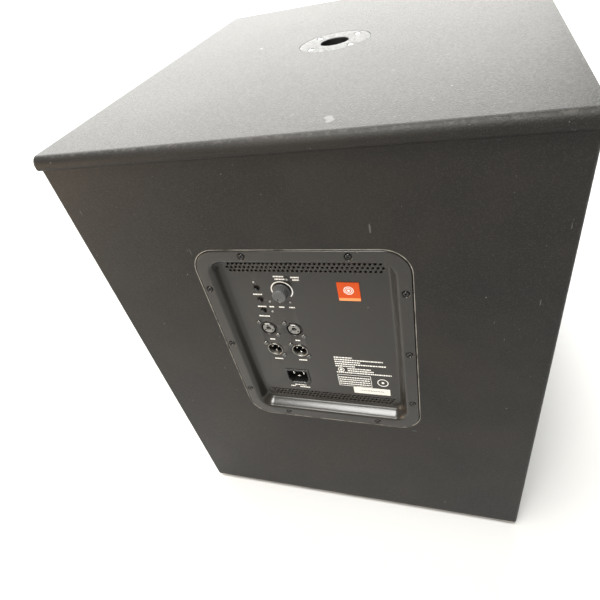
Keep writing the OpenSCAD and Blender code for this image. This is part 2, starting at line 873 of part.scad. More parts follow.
module amp_plate() {
    color("#55504a") on_amp() difference() {
        union() {
            translate([0, 0, flange_face - plate_metal])
                rounded_slab(plate_width, plate_height, plate_corner_radius, plate_metal);
            hull() {
                translate([0, 0, flange_face - plate_metal])
                    rounded_slab(mouth_width + 2 * plate_metal, mouth_height + 2 * plate_metal,
                        mouth_corner + plate_metal, plate_metal);
                translate([0, 0, recess_back])
                    rounded_slab(floor_width + 2 * plate_metal, floor_height + 2 * plate_metal,
                        floor_corner + plate_metal, 1);
            }
        }
        hull() {
            translate([0, 0, flange_face])
                rounded_slab(mouth_width, mouth_height, mouth_corner, cut);
            translate([0, 0, recess_floor])
                rounded_slab(floor_width, floor_height, floor_corner, 1);
        }
        for (i = [0:2]) {
            vent_row(upper_vent_counts[i], upper_vent_z + i * vent_row_pitch);
            vent_row(lower_vent_counts[2 - i], lower_vent_z + i * vent_row_pitch);
        }
        plate_screw_places() translate([0, 0, flange_face - plate_metal - cut])
            cylinder(r = amp_hole_radius, h = plate_metal + 2 * cut, $fn = 24);
        plate_screw_places() {
            translate([0, 0, flange_face - dimple_depth + dimple_sphere]) sphere(r = dimple_sphere);
            translate([0, 0, flange_face - dimple_depth]) cylinder(r = dimple_seat_radius, h = 3, $fn = 32);
        }
        plate_hole(knob_at, bush_radius + fit_gap);
        plate_hole(power_button_at, button_radius + fit_gap);
        plate_hole(crossover_button_at, button_radius + fit_gap);
        plate_hole(polarity_button_at, button_radius + fit_gap);
        for (place = light_places) plate_hole(place, light_radius + running_gap);
        socket_places(1) plate_hole([0, 0], combo_radius + running_gap);
        socket_places(-1) plate_hole([0, 0], output_radius + running_gap);
        socket_screw_places() plate_hole([0, 0], socket_screw_radius + running_gap);
        translate([inlet_at[0], inlet_at[1], recess_back - cut])
            linear_extrude(plate_metal + 2 * cut) polygon(inlet_outline(inlet_wall));
    }
}

module amp_gasket() {
    color("#0f0f0f") on_amp() translate([0, 0, -rebate_depth]) difference() {
        rounded_slab(plate_width - 1, plate_height - 1, plate_corner_radius, gasket_thickness);
        translate([0, 0, -cut]) rounded_slab(plate_cutout_width, plate_cutout_height,
            mouth_corner + plate_metal, gasket_thickness + 2 * cut);
        plate_screw_places() translate([0, 0, -cut])
            cylinder(r = amp_hole_radius, h = gasket_thickness + 2 * cut, $fn = 24);
    }
}

module amp_screws() {
    head_seat = flange_face - dimple_depth;
    color("#161616") on_amp() plate_screw_places() translate([0, 0, head_seat])
        screw(amp_screw_radius, amp_screw_length, 3.1, 1.9);
}

module amp_housing() {
    width = floor_width + 2 * plate_metal - 2;
    height = floor_height + 2 * plate_metal - 2;
    color("#9a9a97") on_amp() difference() {
        translate([0, 0, recess_back - chassis_depth])
            rounded_slab(width, height, floor_corner, chassis_depth);
        translate([0, 0, recess_back - chassis_depth + chassis_wall])
            rounded_slab(width - 2 * chassis_wall, height - 2 * chassis_wall,
                floor_corner - chassis_wall, chassis_depth);
    }
    color("#9a9a97") on_amp() for (x = [14, floor_width / 2 - 11.5], y = [-1, 1])
        translate([x, y * (floor_height / 2 - 16), recess_back - chassis_depth + chassis_wall])
            cylinder(r = 3, h = power_board_z - recess_back + chassis_depth - chassis_wall, $fn = 24);
}

board_thickness = 1.6;
socket_body_depth = 24;
input_board_z = recess_back - socket_body_depth - board_thickness;

module input_board() {
    color("#1f5a34") on_amp() translate([-floor_width / 2 + 3, -50, input_board_z])
        cube([90, 155, board_thickness]);
}

power_board_z = recess_back - 62;

module power_board() {
    color("#1f5a34") on_amp() translate([8, -floor_height / 2 + 8, power_board_z])
        cube([floor_width / 2 - 13.5, floor_height - 16, board_thickness]);
}

module heatsink() {
    fins = 7;
    base = 5;
    length = 110;
    color("#a7a9ac") on_amp() translate([14, -5, power_board_z + board_thickness]) {
        cube([32, length, base]);
        for (i = [0:fins - 1])
            translate([i * (32 - 1.6) / (fins - 1), 0, base]) cube([1.6, length, 30]);
    }
}

module transformer() {
    color("#8c7330") on_amp() translate([16, -95, power_board_z + board_thickness]) {
        cube([44, 38, 30]);
        translate([4, -6, 5]) cube([36, 50, 20]);
    }
}

module capacitors() {
    color("#2e3d63") on_amp() for (y = [-20, 8, 36, 64])
        translate([floor_width / 2 - 21.5, y, power_board_z + board_thickness])
            cylinder(r = 12, h = 34);
}

// Depth of a combination socket's open throat below its face
throat_depth = 18;
socket_body = 2 * (socket_screw_offset + 2.7);
socket_screw_radius = 1.5;
throat_wall = 1.6;
insert_radius = combo_radius - throat_wall - 1.6;
insert_slot = 2.2;
jack_radius = 3.25;
combo_face = recess_floor + 0.8;

module combo_sockets() {
    color("#141414") on_amp() socket_places(1) difference() {
        union() {
            translate([0, 0, recess_back - socket_body_depth])
                linear_extrude(socket_body_depth) square(socket_body, center = true);
            translate([0, 0, recess_back]) cylinder(r = combo_radius, h = combo_face - recess_back);
        }
        translate([0, 0, combo_face - throat_depth])
            cylinder(r = combo_radius - throat_wall, h = throat_depth + cut);
        for (s = [-1, 1]) translate([s * socket_screw_offset, -s * socket_screw_offset,
            recess_back - 10]) cylinder(r = socket_screw_radius + running_gap, h = 10 + cut, $fn = 24);
    }
}

module combo_inserts() {
    color("#8b8b86") on_amp() socket_places(1)
        translate([0, 0, combo_face - throat_depth]) difference() {
            cylinder(r = insert_radius, h = throat_depth - 0.6);
            translate([0, 0, 1]) cylinder(r = jack_radius, h = throat_depth, $fn = 32);
            for (a = [90, 210, 330]) rotate([0, 0, a])
                translate([insert_radius - insert_slot, 0, 6]) cylinder(r = 1.25, h = throat_depth, $fn = 24);
        }
}

output_face = recess_floor + 1;
output_wall = 1.2;

module output_sockets() {
    color("#8f8f8a") on_amp() socket_places(-1) difference() {
        union() {
            translate([0, 0, recess_back - socket_body_depth])
                linear_extrude(socket_body_depth) square(socket_body, center = true);
            translate([0, 0, recess_back]) cylinder(r = output_radius, h = output_face - recess_back);
        }
        translate([0, 0, output_face - throat_depth])
            cylinder(r = output_radius - output_wall, h = throat_depth + cut);
        for (s = [-1, 1]) translate([s * socket_screw_offset, -s * socket_screw_offset,
            recess_back - 10]) cylinder(r = socket_screw_radius + running_gap, h = 10 + cut, $fn = 24);
    }
}

module output_pins() {
    color("#c9c9c4") on_amp() socket_places(-1) for (a = [270, 30, 150])
        rotate([0, 0, a]) translate([4.6, 0, output_face - throat_depth]) {
            cylinder(r = 1.2, h = throat_depth - 4, $fn = 24);
            translate([0, 0, throat_depth - 4]) sphere(r = 1.2, $fn = 24);
        }
}

module socket_screws() {
    color("#b9b9b4") on_amp() socket_screw_places() translate([0, 0, recess_floor])
        screw(socket_screw_radius, 9, 2.9, 1.7);
}

inlet_rim = 1.2;
inlet_depth = 22;
inlet_base = 3;

module mains_inlet() {
    color("#1b1b1b") on_amp(inlet_at) difference() {
        union() {
            translate([0, 0, recess_floor]) linear_extrude(inlet_rim) polygon(inlet_outline(inlet_flange));
            translate([0, 0, recess_floor - inlet_depth])
                linear_extrude(inlet_depth) polygon(inlet_outline(inlet_wall - fit_gap));
        }
        translate([0, 0, recess_floor - inlet_depth + inlet_base])
            linear_extrude(inlet_depth + inlet_rim) polygon(inlet_outline(0));
    }
}

module mains_pins() {
    pin_length = 15;
    color("#c9c9c4") on_amp(inlet_at)
        for (pin = [[-7, 2, 2.1, 4], [7, 2, 2.1, 4], [0, -3.5, 4, 2.1]])
            translate([pin[0] - pin[2] / 2, pin[1] - pin[3] / 2, recess_floor - inlet_depth + inlet_base])
                cube([pin[2], pin[3], pin_length]);
}

// ---- Controls ----

knob_base = recess_floor + 0.6;
knob_pointer_angle = 90 + knob_turn / 2;

module volume_knob() {
    skirt = 2;
    color("#6f7072") on_amp(knob_at) translate([0, 0, knob_base]) difference() {
        union() {
            cylinder(r = knob_radius, h = skirt);
            translate([0, 0, skirt])
                cylinder(r1 = knob_radius - 0.6, r2 = knob_radius - 1.6, h = knob_height - skirt - 1);
            translate([0, 0, knob_height - 1])
                cylinder(r1 = knob_radius - 1.6, r2 = knob_radius - 2.6, h = 1);
        }
        translate([0, 0, -cut]) cylinder(r = shaft_radius, h = knob_height - 3 + cut, $fn = 32);
        rotate([0, 0, knob_pointer_angle]) translate([2.5, -0.7, knob_height - 0.8])
            cube([knob_radius, 1.4, 2]);
    }
}

shaft_bottom = recess_back - 5;

module knob_shaft() {
    color("#b9b9b4") on_amp(knob_at) translate([0, 0, shaft_bottom])
        cylinder(r = shaft_radius, h = knob_base + knob_height - 3 - shaft_bottom, $fn = 32);
}

module volume_control() {
    body = 8;
    body_width = 17;
    body_height = 20;
    color("#3d4043") on_amp(knob_at) difference() {
        union() {
            translate([-body_width / 2, -body_height / 2, recess_back - body])
                cube([body_width, body_height, body]);
            translate([0, 0, recess_back]) cylinder(r = bush_radius, h = plate_metal, $fn = 32);
        }
        translate([0, 0, shaft_bottom - 0.4])
            cylinder(r = shaft_radius + running_gap, h = body + plate_metal + cut, $fn = 32);
    }
}

collar_thickness = 1.2;

module push_button(place) {
    color("#111111") on_amp(place) {
        translate([0, 0, recess_back - fit_gap])
            cylinder(r = button_radius, h = plate_metal + button_height + fit_gap, $fn = 32);
        translate([0, 0, recess_back - fit_gap - collar_thickness])
            cylinder(r = button_radius + 1.2, h = collar_thickness, $fn = 32);
        translate([0, 0, recess_back - fit_gap - collar_thickness - 3])
            cylinder(r = 1.6, h = 3, $fn = 32);
    }
}

module power_button() {
    push_button(power_button_at);
}

module crossover_button() {
    push_button(crossover_button_at);
}

module polarity_button() {
    push_button(polarity_button_at);
}

module button_switches() {
    stem_end = recess_back - fit_gap - collar_thickness - 3;
    top = stem_end - button_travel - fit_gap;
    color("#2a2a2c") on_amp()
        for (place = [power_button_at, crossover_button_at, polarity_button_at])
            translate([place[0] - 4, place[1] - 4, input_board_z + board_thickness])
                cube([8, 8, top - input_board_z - board_thickness]);
}

module status_lights() {
    color("#d8d8d2") on_amp() for (place = light_places) translate([place[0], place[1], 0]) {
        translate([0, 0, input_board_z + board_thickness])
            cylinder(r = light_radius, h = recess_floor + 0.4 - input_board_z - board_thickness,
                $fn = 24);
        translate([0, 0, recess_floor + 0.4]) scale([1, 1, 0.4]) sphere(r = light_radius, $fn = 24);
    }
}

module panel_badge() {
    color("#e06a12") on_amp(badge_at) translate([0, 0, recess_floor])
        rounded_slab(badge_size[0], badge_size[1], 1, 0.8);
}

top_panel();
bottom_panel();
left_side_panel();
right_side_panel();
back_panel();
front_baffle();
window_brace();
grille_battens();
damping_lining();
rubber_feet();
foot_screws();
left_handle_cup();
right_handle_cup();
handle_bars();
handle_screws();
pole_socket();
pole_socket_screws();
grille();
grille_foam();
grille_screws();
left_port_tube();
right_port_tube();
woofer_basket();
woofer_gasket();
woofer_surround();
woofer_cone();
woofer_dust_cap();
woofer_spider();
coil_former();
voice_coil();
magnet_front_plate();
magnet_ring();
magnet_pole_yoke();
woofer_screws();
woofer_terminals();
amp_plate();
amp_gasket();
amp_screws();
amp_housing();
input_board();
power_board();
heatsink();
transformer();
capacitors();
combo_sockets();
combo_inserts();
output_sockets();
output_pins();
socket_screws();
mains_inlet();
mains_pins();
volume_knob();
knob_shaft();
volume_control();
power_button();
crossover_button();
polarity_button();
button_switches();
status_lights();
panel_badge();
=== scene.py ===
"""Looks of the powered subwoofer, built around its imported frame. Local sizes are in millimetres."""
import math
import random
from functools import partialmethod

import bmesh
import bpy
from mathutils import Matrix, Vector, noise
from mathutils.geometry import delaunay_2d_cdt


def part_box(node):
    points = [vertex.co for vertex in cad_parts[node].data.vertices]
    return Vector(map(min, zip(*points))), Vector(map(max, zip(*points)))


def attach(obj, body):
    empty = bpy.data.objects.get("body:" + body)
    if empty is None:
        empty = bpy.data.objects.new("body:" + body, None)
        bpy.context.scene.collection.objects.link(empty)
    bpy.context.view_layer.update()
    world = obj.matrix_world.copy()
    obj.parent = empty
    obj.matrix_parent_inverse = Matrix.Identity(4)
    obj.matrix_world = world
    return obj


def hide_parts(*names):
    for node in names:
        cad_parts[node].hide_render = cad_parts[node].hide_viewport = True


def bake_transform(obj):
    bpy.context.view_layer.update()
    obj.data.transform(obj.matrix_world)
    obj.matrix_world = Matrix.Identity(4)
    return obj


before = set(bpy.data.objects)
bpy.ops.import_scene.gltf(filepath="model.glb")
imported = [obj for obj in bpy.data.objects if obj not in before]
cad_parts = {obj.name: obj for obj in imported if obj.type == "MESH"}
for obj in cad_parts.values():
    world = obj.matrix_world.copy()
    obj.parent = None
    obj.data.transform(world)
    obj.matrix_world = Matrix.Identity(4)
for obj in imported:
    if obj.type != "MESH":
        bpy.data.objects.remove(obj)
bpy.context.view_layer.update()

MM = 0.001
CABINET = "cabinet"
SAME_PLACE = 2e-6  # points closer than this, in metres, are one


def box_mm(node):
    low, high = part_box(node)
    return low / MM, high / MM


# ---- Places, all read from the frame ----

REAR = box_mm("back_panel")[1].y
HALF_WIDTH = box_mm("right_side_panel")[1].x
HALF_DEPTH = box_mm("right_side_panel")[1].y
BASE_Z = box_mm("bottom_panel")[0].z
TOP_Z = box_mm("top_panel")[1].z
PLATE_LOW, PLATE_HIGH = box_mm("amp_plate")
PLATE_WIDTH = PLATE_HIGH.x - PLATE_LOW.x
PLATE_HEIGHT = PLATE_HIGH.z - PLATE_LOW.z
PLATE_Z = (PLATE_LOW.z + PLATE_HIGH.z) / 2
PLATE_CORNER = 28
CUT_OUT_GAP = 1.1
FLANGE = PLATE_HIGH.y - REAR
FLOOR = box_mm("panel_badge")[0].y - REAR
BAFFLE_Y = box_mm("front_baffle")[0].y
WOOFER_Z = (box_mm("woofer_basket")[0].z + box_mm("woofer_basket")[1].z) / 2


def rear_span(node):
    """Lowest and highest point of a node above the cabinet's rear face."""
    low, high = box_mm(node)
    return low.y - REAR, high.y - REAR


def on_rear(px=0.0, pz=0.0):
    """Local x is right as seen from behind, y up, z outwards from the cabinet's rear face."""
    return lambda x, y, z: Vector((-(px + x), REAR + z, PLATE_Z + pz + y)) * MM


def on_woofer(x, y, z):
    """Local z points forward from the baffle's face."""
    return Vector((x, BAFFLE_Y - z, WOOFER_Z + y)) * MM


def on_top(x, y, z):
    return Vector((x, y, TOP_Z + z)) * MM


def on_side(side, height):
    """Local x runs towards the rear, y up, z outwards from the side panel."""
    return lambda x, y, z: Vector((side * (HALF_WIDTH + z), x, height + y)) * MM


def solids(node):
    """Lowest and highest corner, in millimetres, of each separate solid in a CAD node."""
    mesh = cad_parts[node].data
    keys = [tuple(round(c, 6) for c in v.co) for v in mesh.vertices]
    group = {k: k for k in keys}

    def root(k):
        while group[k] != k:
            group[k] = group[group[k]]
            k = group[k]
        return k

    for face in mesh.polygons:
        first = root(keys[face.vertices[0]])
        for v in face.vertices[1:]:
            group[root(keys[v])] = first
    found = {}
    for k in group:
        found.setdefault(root(k), []).append(k)
    boxes = []
    for points in found.values():
        low = Vector(min(p[i] for p in points) for i in range(3)) / MM
        high = Vector(max(p[i] for p in points) for i in range(3)) / MM
        boxes.append((low, high))
    return sorted(boxes, key=lambda b: (round(b[0].z), round(b[0].x), round(b[0].y)))


def panel_places(node):
    """Centres of a node's solids on the rear panel: right as seen from behind, then up."""
    return [(-(a.x + b.x) / 2, (a.z + b.z) / 2 - PLATE_Z) for a, b in solids(node)]


# ---- Materials ----

def rgb(colour, factor=1):
    """Three channels from a colour, or from one number for a grey."""
    return tuple(c * factor for c in (colour if isinstance(colour, tuple) else (colour,) * 3))


class Finish:
    """A Principled material in the cabinet's own coordinates, with its surface detail added step by step."""

    def __init__(self, name, colour, roughness, metallic=0.0, **sockets):
        self.material = bpy.data.materials.new(name)
        self.material.use_nodes = True
        self.tree = self.material.node_tree
        self.shader = self.tree.nodes["Principled BSDF"]
        self.colour = (*rgb(colour), 1)
        fixed = {"Base_Color": self.colour, "Roughness": roughness, "Metallic": metallic, **sockets}
        for socket, value in fixed.items():
            self.shader.inputs[socket.replace("_", " ")].default_value = value
        self.where = self.node("TexCoord").outputs["Object"]
        self.normal = None

    def node(self, kind, inputs=None, **settings):
        made = self.tree.nodes.new("ShaderNode" + kind)
        for key, value in settings.items():
            setattr(made, key, value)
        for key, value in (inputs or {}).items():
            if isinstance(value, bpy.types.NodeSocket):
                self.tree.links.new(value, made.inputs[key])
            else:
                made.inputs[key].default_value = value
        return made

    def link(self, socket, name):
        self.tree.links.new(socket, self.shader.inputs[name])
        return socket

    def math(self, operation, a, b=0.0):
        return self.node("Math", {0: a, 1: b}, operation=operation).outputs[0]

    times = partialmethod(math, "MULTIPLY")
    minus = partialmethod(math, "SUBTRACT")
    least = partialmethod(math, "MINIMUM")
    most = partialmethod(math, "MAXIMUM")
    size = partialmethod(math, "ABSOLUTE")
    above = partialmethod(math, "GREATER_THAN")

    def axes(self):
        return self.node("SeparateXYZ", {0: self.where}).outputs

    def spread(self, value, low, high, to_low=0.0, to_high=1.0):
        made = self.node("MapRange", {"Value": value, "From Min": low, "From Max": high,
                                      "To Min": to_low, "To Max": to_high}, interpolation_type="SMOOTHSTEP")
        return made.outputs["Result"]

    def noise(self, scale, detail=3.0, where=None):
        made = self.node("TexNoise", {"Vector": where or self.where, "Scale": scale, "Detail": detail,
                                      "Roughness": 0.6})
        return made.outputs["Fac"]

    def stretched(self, factors):
        return self.node("Mapping", {"Vector": self.where, "Scale": factors}).outputs["Vector"]

    def mix(self, amount, colour):
        """Lays a colour over what is there, where amount is high."""
        made = self.node("Mix", {0: amount, 6: self.colour, 7: (*rgb(colour), 1)}, data_type="RGBA")
        self.colour = self.link(made.outputs[2], "Base Color")
        return self

    def mottle(self, scale, colour, low=0.35, high=0.7):
        """Soft patches of a second colour."""
        return self.mix(self.spread(self.noise(scale), low, high), colour)

    def specks(self, scale, size, colour, share):
        """Small separate specks of dust, on only a share of the cells."""
        made = self.node("TexVoronoi", {"Vector": self.where, "Scale": scale, "Randomness": 1.0})
        near = self.spread(made.outputs["Distance"], size, size * 0.4)
        cell = self.node("SeparateColor", {0: made.outputs["Color"]}).outputs[0]
        return self.mix(self.times(near, self.above(cell, 1 - share)), colour)

    def scratches(self, scale, factors, colour, low, high):
        """Thin marks, long across one direction."""
        lines = self.noise(scale, 2.0, self.stretched(factors))
        return self.mix(self.times(self.spread(lines, low, high), 0.5), colour)

    def gloss(self, scale, low, high):
        """Uneven shine."""
        self.link(self.spread(self.noise(scale), 0.3, 0.7, low, high), "Roughness")
        return self

    def bump(self, height, depth_mm, strength=1.0):
        inputs = {"Height": height, "Distance": depth_mm * MM, "Strength": strength}
        if self.normal is not None:
            inputs["Normal"] = self.normal
        self.normal = self.link(self.node("Bump", inputs).outputs["Normal"], "Normal")
        return self

    def grain(self, scale, depth_mm, detail=3.0):
        return self.bump(self.noise(scale, detail), depth_mm)

    def pebble(self, scale, depth_mm, strength=1.0):
        """Rounded bumps, as in sprayed texture coating or moulded grain."""
        cells = self.node("TexVoronoi", {"Vector": self.where, "Scale": scale}, feature="SMOOTH_F1")
        return self.bump(cells.outputs["Distance"], -depth_mm, strength)

    def brushed(self, factors, depth_mm, scale=900):
        return self.bump(self.noise(scale, 2.0, self.stretched(factors)), depth_mm)

    def weave(self, pitch_mm, depth_mm):
        """Crossing threads."""
        inputs = {"Vector": self.where, "Scale": 0.32 / (pitch_mm * MM), "Distortion": 0.6}
        waves = [self.node("TexWave", inputs, bands_direction=d).outputs["Fac"] for d in ("X", "Z")]
        return self.bump(self.most(*waves), depth_mm)

    def edge_wear(self, half_x, half_y, low_z, high_z, reach, colour):
        """Rubbed paint near the edges of a box: the second smallest distance to its sides."""
        x, y, z = self.axes()
        a = self.minus(half_x, self.size(x))
        b = self.minus(half_y, self.size(y))
        c = self.least(self.minus(z, low_z), self.minus(high_z, z))
        near = self.most(self.least(a, b), self.least(self.most(a, b), c))
        patches = self.spread(self.noise(160, 5), 0.48, 0.66)
        return self.mix(self.times(self.spread(near, reach, 0.0), patches), colour)

    def painted_sill_highlight(self, low_z, rear_y, colour):
        """Painted highlight: a pale line along the foot of the rear face, standing in for its lit lower edge.
        """
        _, y, z = self.axes()
        line = self.times(self.spread(z, low_z + 0.0022, low_z + 0.0012), self.above(y, rear_y - 0.002))
        patches = self.spread(self.noise(50, 4), 0.25, 0.55, 0.3, 1.0)
        return self.mix(self.times(line, patches), colour)

    def painted_rim_highlight(self, half_x, half_z, corner, centre_z, front_y, colour):
        """Painted highlight: a pale line along the front edge of a cut-out with round corners, standing in
        for the lit rim.
        """
        x, y, z = self.axes()
        a = self.minus(self.size(x), half_x - corner)
        b = self.minus(self.size(self.minus(z, centre_z)), half_z - corner)
        far_a, far_b = self.most(a, 0.0), self.most(b, 0.0)
        from_corner = self.math("SQRT", self.math("ADD", self.times(far_a, far_a), self.times(far_b, far_b)))
        inside = self.least(self.most(a, b), 0.0)
        away = self.size(self.minus(self.math("ADD", from_corner, inside), corner))
        line = self.times(self.spread(away, 0.0011, 0.0004), self.above(y, front_y))
        patches = self.spread(self.noise(60, 4), 0.3, 0.6, 0.25, 1.0)
        return self.mix(self.times(line, patches), colour)


def coating(name):
    """Black textured paint with dust, wiped patches and rubbed edges, and with painted highlights along the
    cut-out's rim and the foot of the rear face.
    """
    made = Finish(name, (0.0100, 0.0097, 0.0093), 0.5, Specular_IOR_Level=0.22)
    made.mottle(5, (0.018, 0.016, 0.0135)).mottle(900, (0.026, 0.024, 0.021), 0.5, 0.68)
    made.specks(60, 0.055, (0.16, 0.15, 0.13), 0.14).specks(170, 0.10, (0.11, 0.10, 0.09), 0.06)
    made.scratches(24, (1, 1, 7), 0.14, 0.76, 0.785).scratches(30, (6, 6, 1.2), 0.14, 0.74, 0.77)
    made.edge_wear(HALF_WIDTH * MM, HALF_DEPTH * MM, BASE_Z * MM, TOP_Z * MM, 0.004, (0.045, 0.042, 0.038))
    # Painted highlight: a pale line round the rim of the amplifier panel's cut-out.
    made.painted_rim_highlight((PLATE_WIDTH / 2 + CUT_OUT_GAP) * MM, (PLATE_HEIGHT / 2 + CUT_OUT_GAP) * MM,
                  (PLATE_CORNER + 1) * MM, PLATE_Z * MM, (REAR - 1.2) * MM, (0.30, 0.285, 0.25))
    # Painted highlight: a pale line along the foot of the rear face.
    made.painted_sill_highlight(BASE_Z * MM, REAR * MM, (0.55, 0.53, 0.48))
    return made.gloss(500, 0.46, 0.54).pebble(760, 0.34, 0.5).grain(1700, 0.12)


def panel_paint(name):
    """Satin warm grey enamel on the amplifier panel."""
    made = Finish(name, (0.017, 0.0155, 0.013), 0.32, Specular_IOR_Level=0.12, Coat_Weight=0.6,
                  Coat_Roughness=0.2)
    made.mottle(9, (0.021, 0.019, 0.016)).mottle(1300, (0.026, 0.023, 0.019), 0.5, 0.7)
    return made.specks(90, 0.06, (0.20, 0.19, 0.17), 0.12).gloss(60, 0.29, 0.37).grain(1400, 0.05)


def moulded(name, colour, roughness=0.45, scale=1100, depth=0.06):
    """Moulded plastic or smooth paint with a fine grain."""
    made = Finish(name, colour, roughness).mottle(70, rgb(colour, 0.75))
    return made.gloss(300, roughness - 0.06, roughness + 0.1).grain(scale, depth)


def metal(name, colour, roughness, factors=(1, 1, 1), depth=0.02):
    """Bare metal with fine lines or grain and slight staining."""
    made = Finish(name, colour, roughness, 1.0).mottle(45, rgb(colour, 0.8))
    return made.gloss(220, roughness - 0.05, roughness + 0.12).brushed(factors, depth)


def rubber(name, colour, scale=700, depth=0.12):
    """Matt rubber or closed foam with dust in its pores."""
    made = Finish(name, colour, 0.8, Specular_IOR_Level=0.3).mottle(120, rgb(colour, 1.7))
    return made.specks(420, 0.10, (0.09, 0.09, 0.085), 0.08).grain(scale, depth, 5)


def cloth(name, colour, thread, pitch_mm):
    """Woven cloth."""
    made = Finish(name, colour, 0.85, Sheen_Weight=0.3, Sheen_Roughness=0.5, Specular_IOR_Level=0.2)
    return made.mottle(160, thread).weave(pitch_mm, 0.12).grain(2200, 0.04)


def fibre(name, colour, lint):
    """Loose fibres pressed into a pad."""
    made = Finish(name, colour, 0.95, Sheen_Weight=0.5, Sheen_Roughness=0.6, Specular_IOR_Level=0.1)
    made.mottle(30, rgb(colour, 0.7)).scratches(300, (1, 6, 1), lint, 0.52, 0.6)
    return made.scratches(300, (6, 1, 1), lint, 0.54, 0.62).grain(420, 1.2, 8)


def foam(name, colour):
    """Open-cell foam."""
    made = Finish(name, colour, 0.95, Specular_IOR_Level=0.1).mottle(60, rgb(colour, 1.8))
    return made.pebble(700, 0.9).grain(1800, 0.2)


def plywood(name):
    """Raw plywood with long grain and rubbed patches."""
    made = Finish(name, (0.42, 0.27, 0.14), 0.62)
    made.scratches(60, (1, 1, 14), (0.22, 0.12, 0.05), 0.42, 0.6).mottle(12, (0.50, 0.34, 0.19))
    return made.brushed((1, 1, 10), 0.08, 500)


def paper(name):
    """Pressed pulp with short fibres."""
    made = Finish(name, (0.030, 0.029, 0.027), 0.75, Specular_IOR_Level=0.3)
    made.mottle(140, (0.045, 0.043, 0.040)).scratches(420, (5, 1, 1), (0.11, 0.105, 0.095), 0.6, 0.66)
    return made.grain(900, 0.25, 6)


def circuit_board(name):
    """Green solder mask over copper tracks."""
    made = Finish(name, (0.012, 0.075, 0.032), 0.35, Coat_Weight=0.5, Coat_Roughness=0.15)
    tracks = made.node("TexBrick", {"Vector": made.stretched((90, 90, 90)), "Scale": 3.0,
                                    "Mortar Size": 0.05}).outputs["Fac"]
    made.mix(tracks, (0.03, 0.13, 0.05)).specks(260, 0.14, (0.55, 0.52, 0.40), 0.3)
    return made.bump(tracks, 0.05).grain(900, 0.01)


def ink(name, colour):
    """Printed ink, a little thin in places."""
    made = Finish(name, colour, 0.5, Specular_IOR_Level=0.25)
    return made.mottle(900, rgb(colour, 0.85), 0.45, 0.7).grain(1500, 0.01)


def ferrite(name):
    made = Finish(name, (0.045, 0.045, 0.05), 0.5, 0.3).mottle(90, (0.065, 0.064, 0.066))
    return made.brushed((1, 12, 1), 0.04, 500).grain(900, 0.06)


def windings(name):
    """Copper-coloured wound wire."""
    made = Finish(name, (0.62, 0.25, 0.08), 0.3, 0.9)
    turns = made.node("TexWave", {"Vector": made.where, "Scale": 900.0}, bands_direction="Y")
    return made.bump(turns.outputs["Fac"], 0.12).mottle(120, (0.40, 0.15, 0.05))


def lens(name):
    """Frosted clear light lens."""
    made = Finish(name, (0.34, 0.34, 0.32), 0.25, Coat_Weight=0.6, Coat_Roughness=0.1)
    return made.mottle(400, (0.22, 0.22, 0.21)).grain(1200, 0.02)


def sleeve(name):
    """Shrink sleeve with a pale stripe down one side."""
    made = Finish(name, (0.03, 0.05, 0.14), 0.3, Coat_Weight=0.4, Coat_Roughness=0.2)
    edge = box_mm("capacitors")[0].x * MM
    made.mix(made.spread(made.axes()[0], edge + 0.0022, edge + 0.0019), (0.62, 0.64, 0.66))
    return made.mottle(60, (0.02, 0.035, 0.10)).gloss(300, 0.25, 0.4)


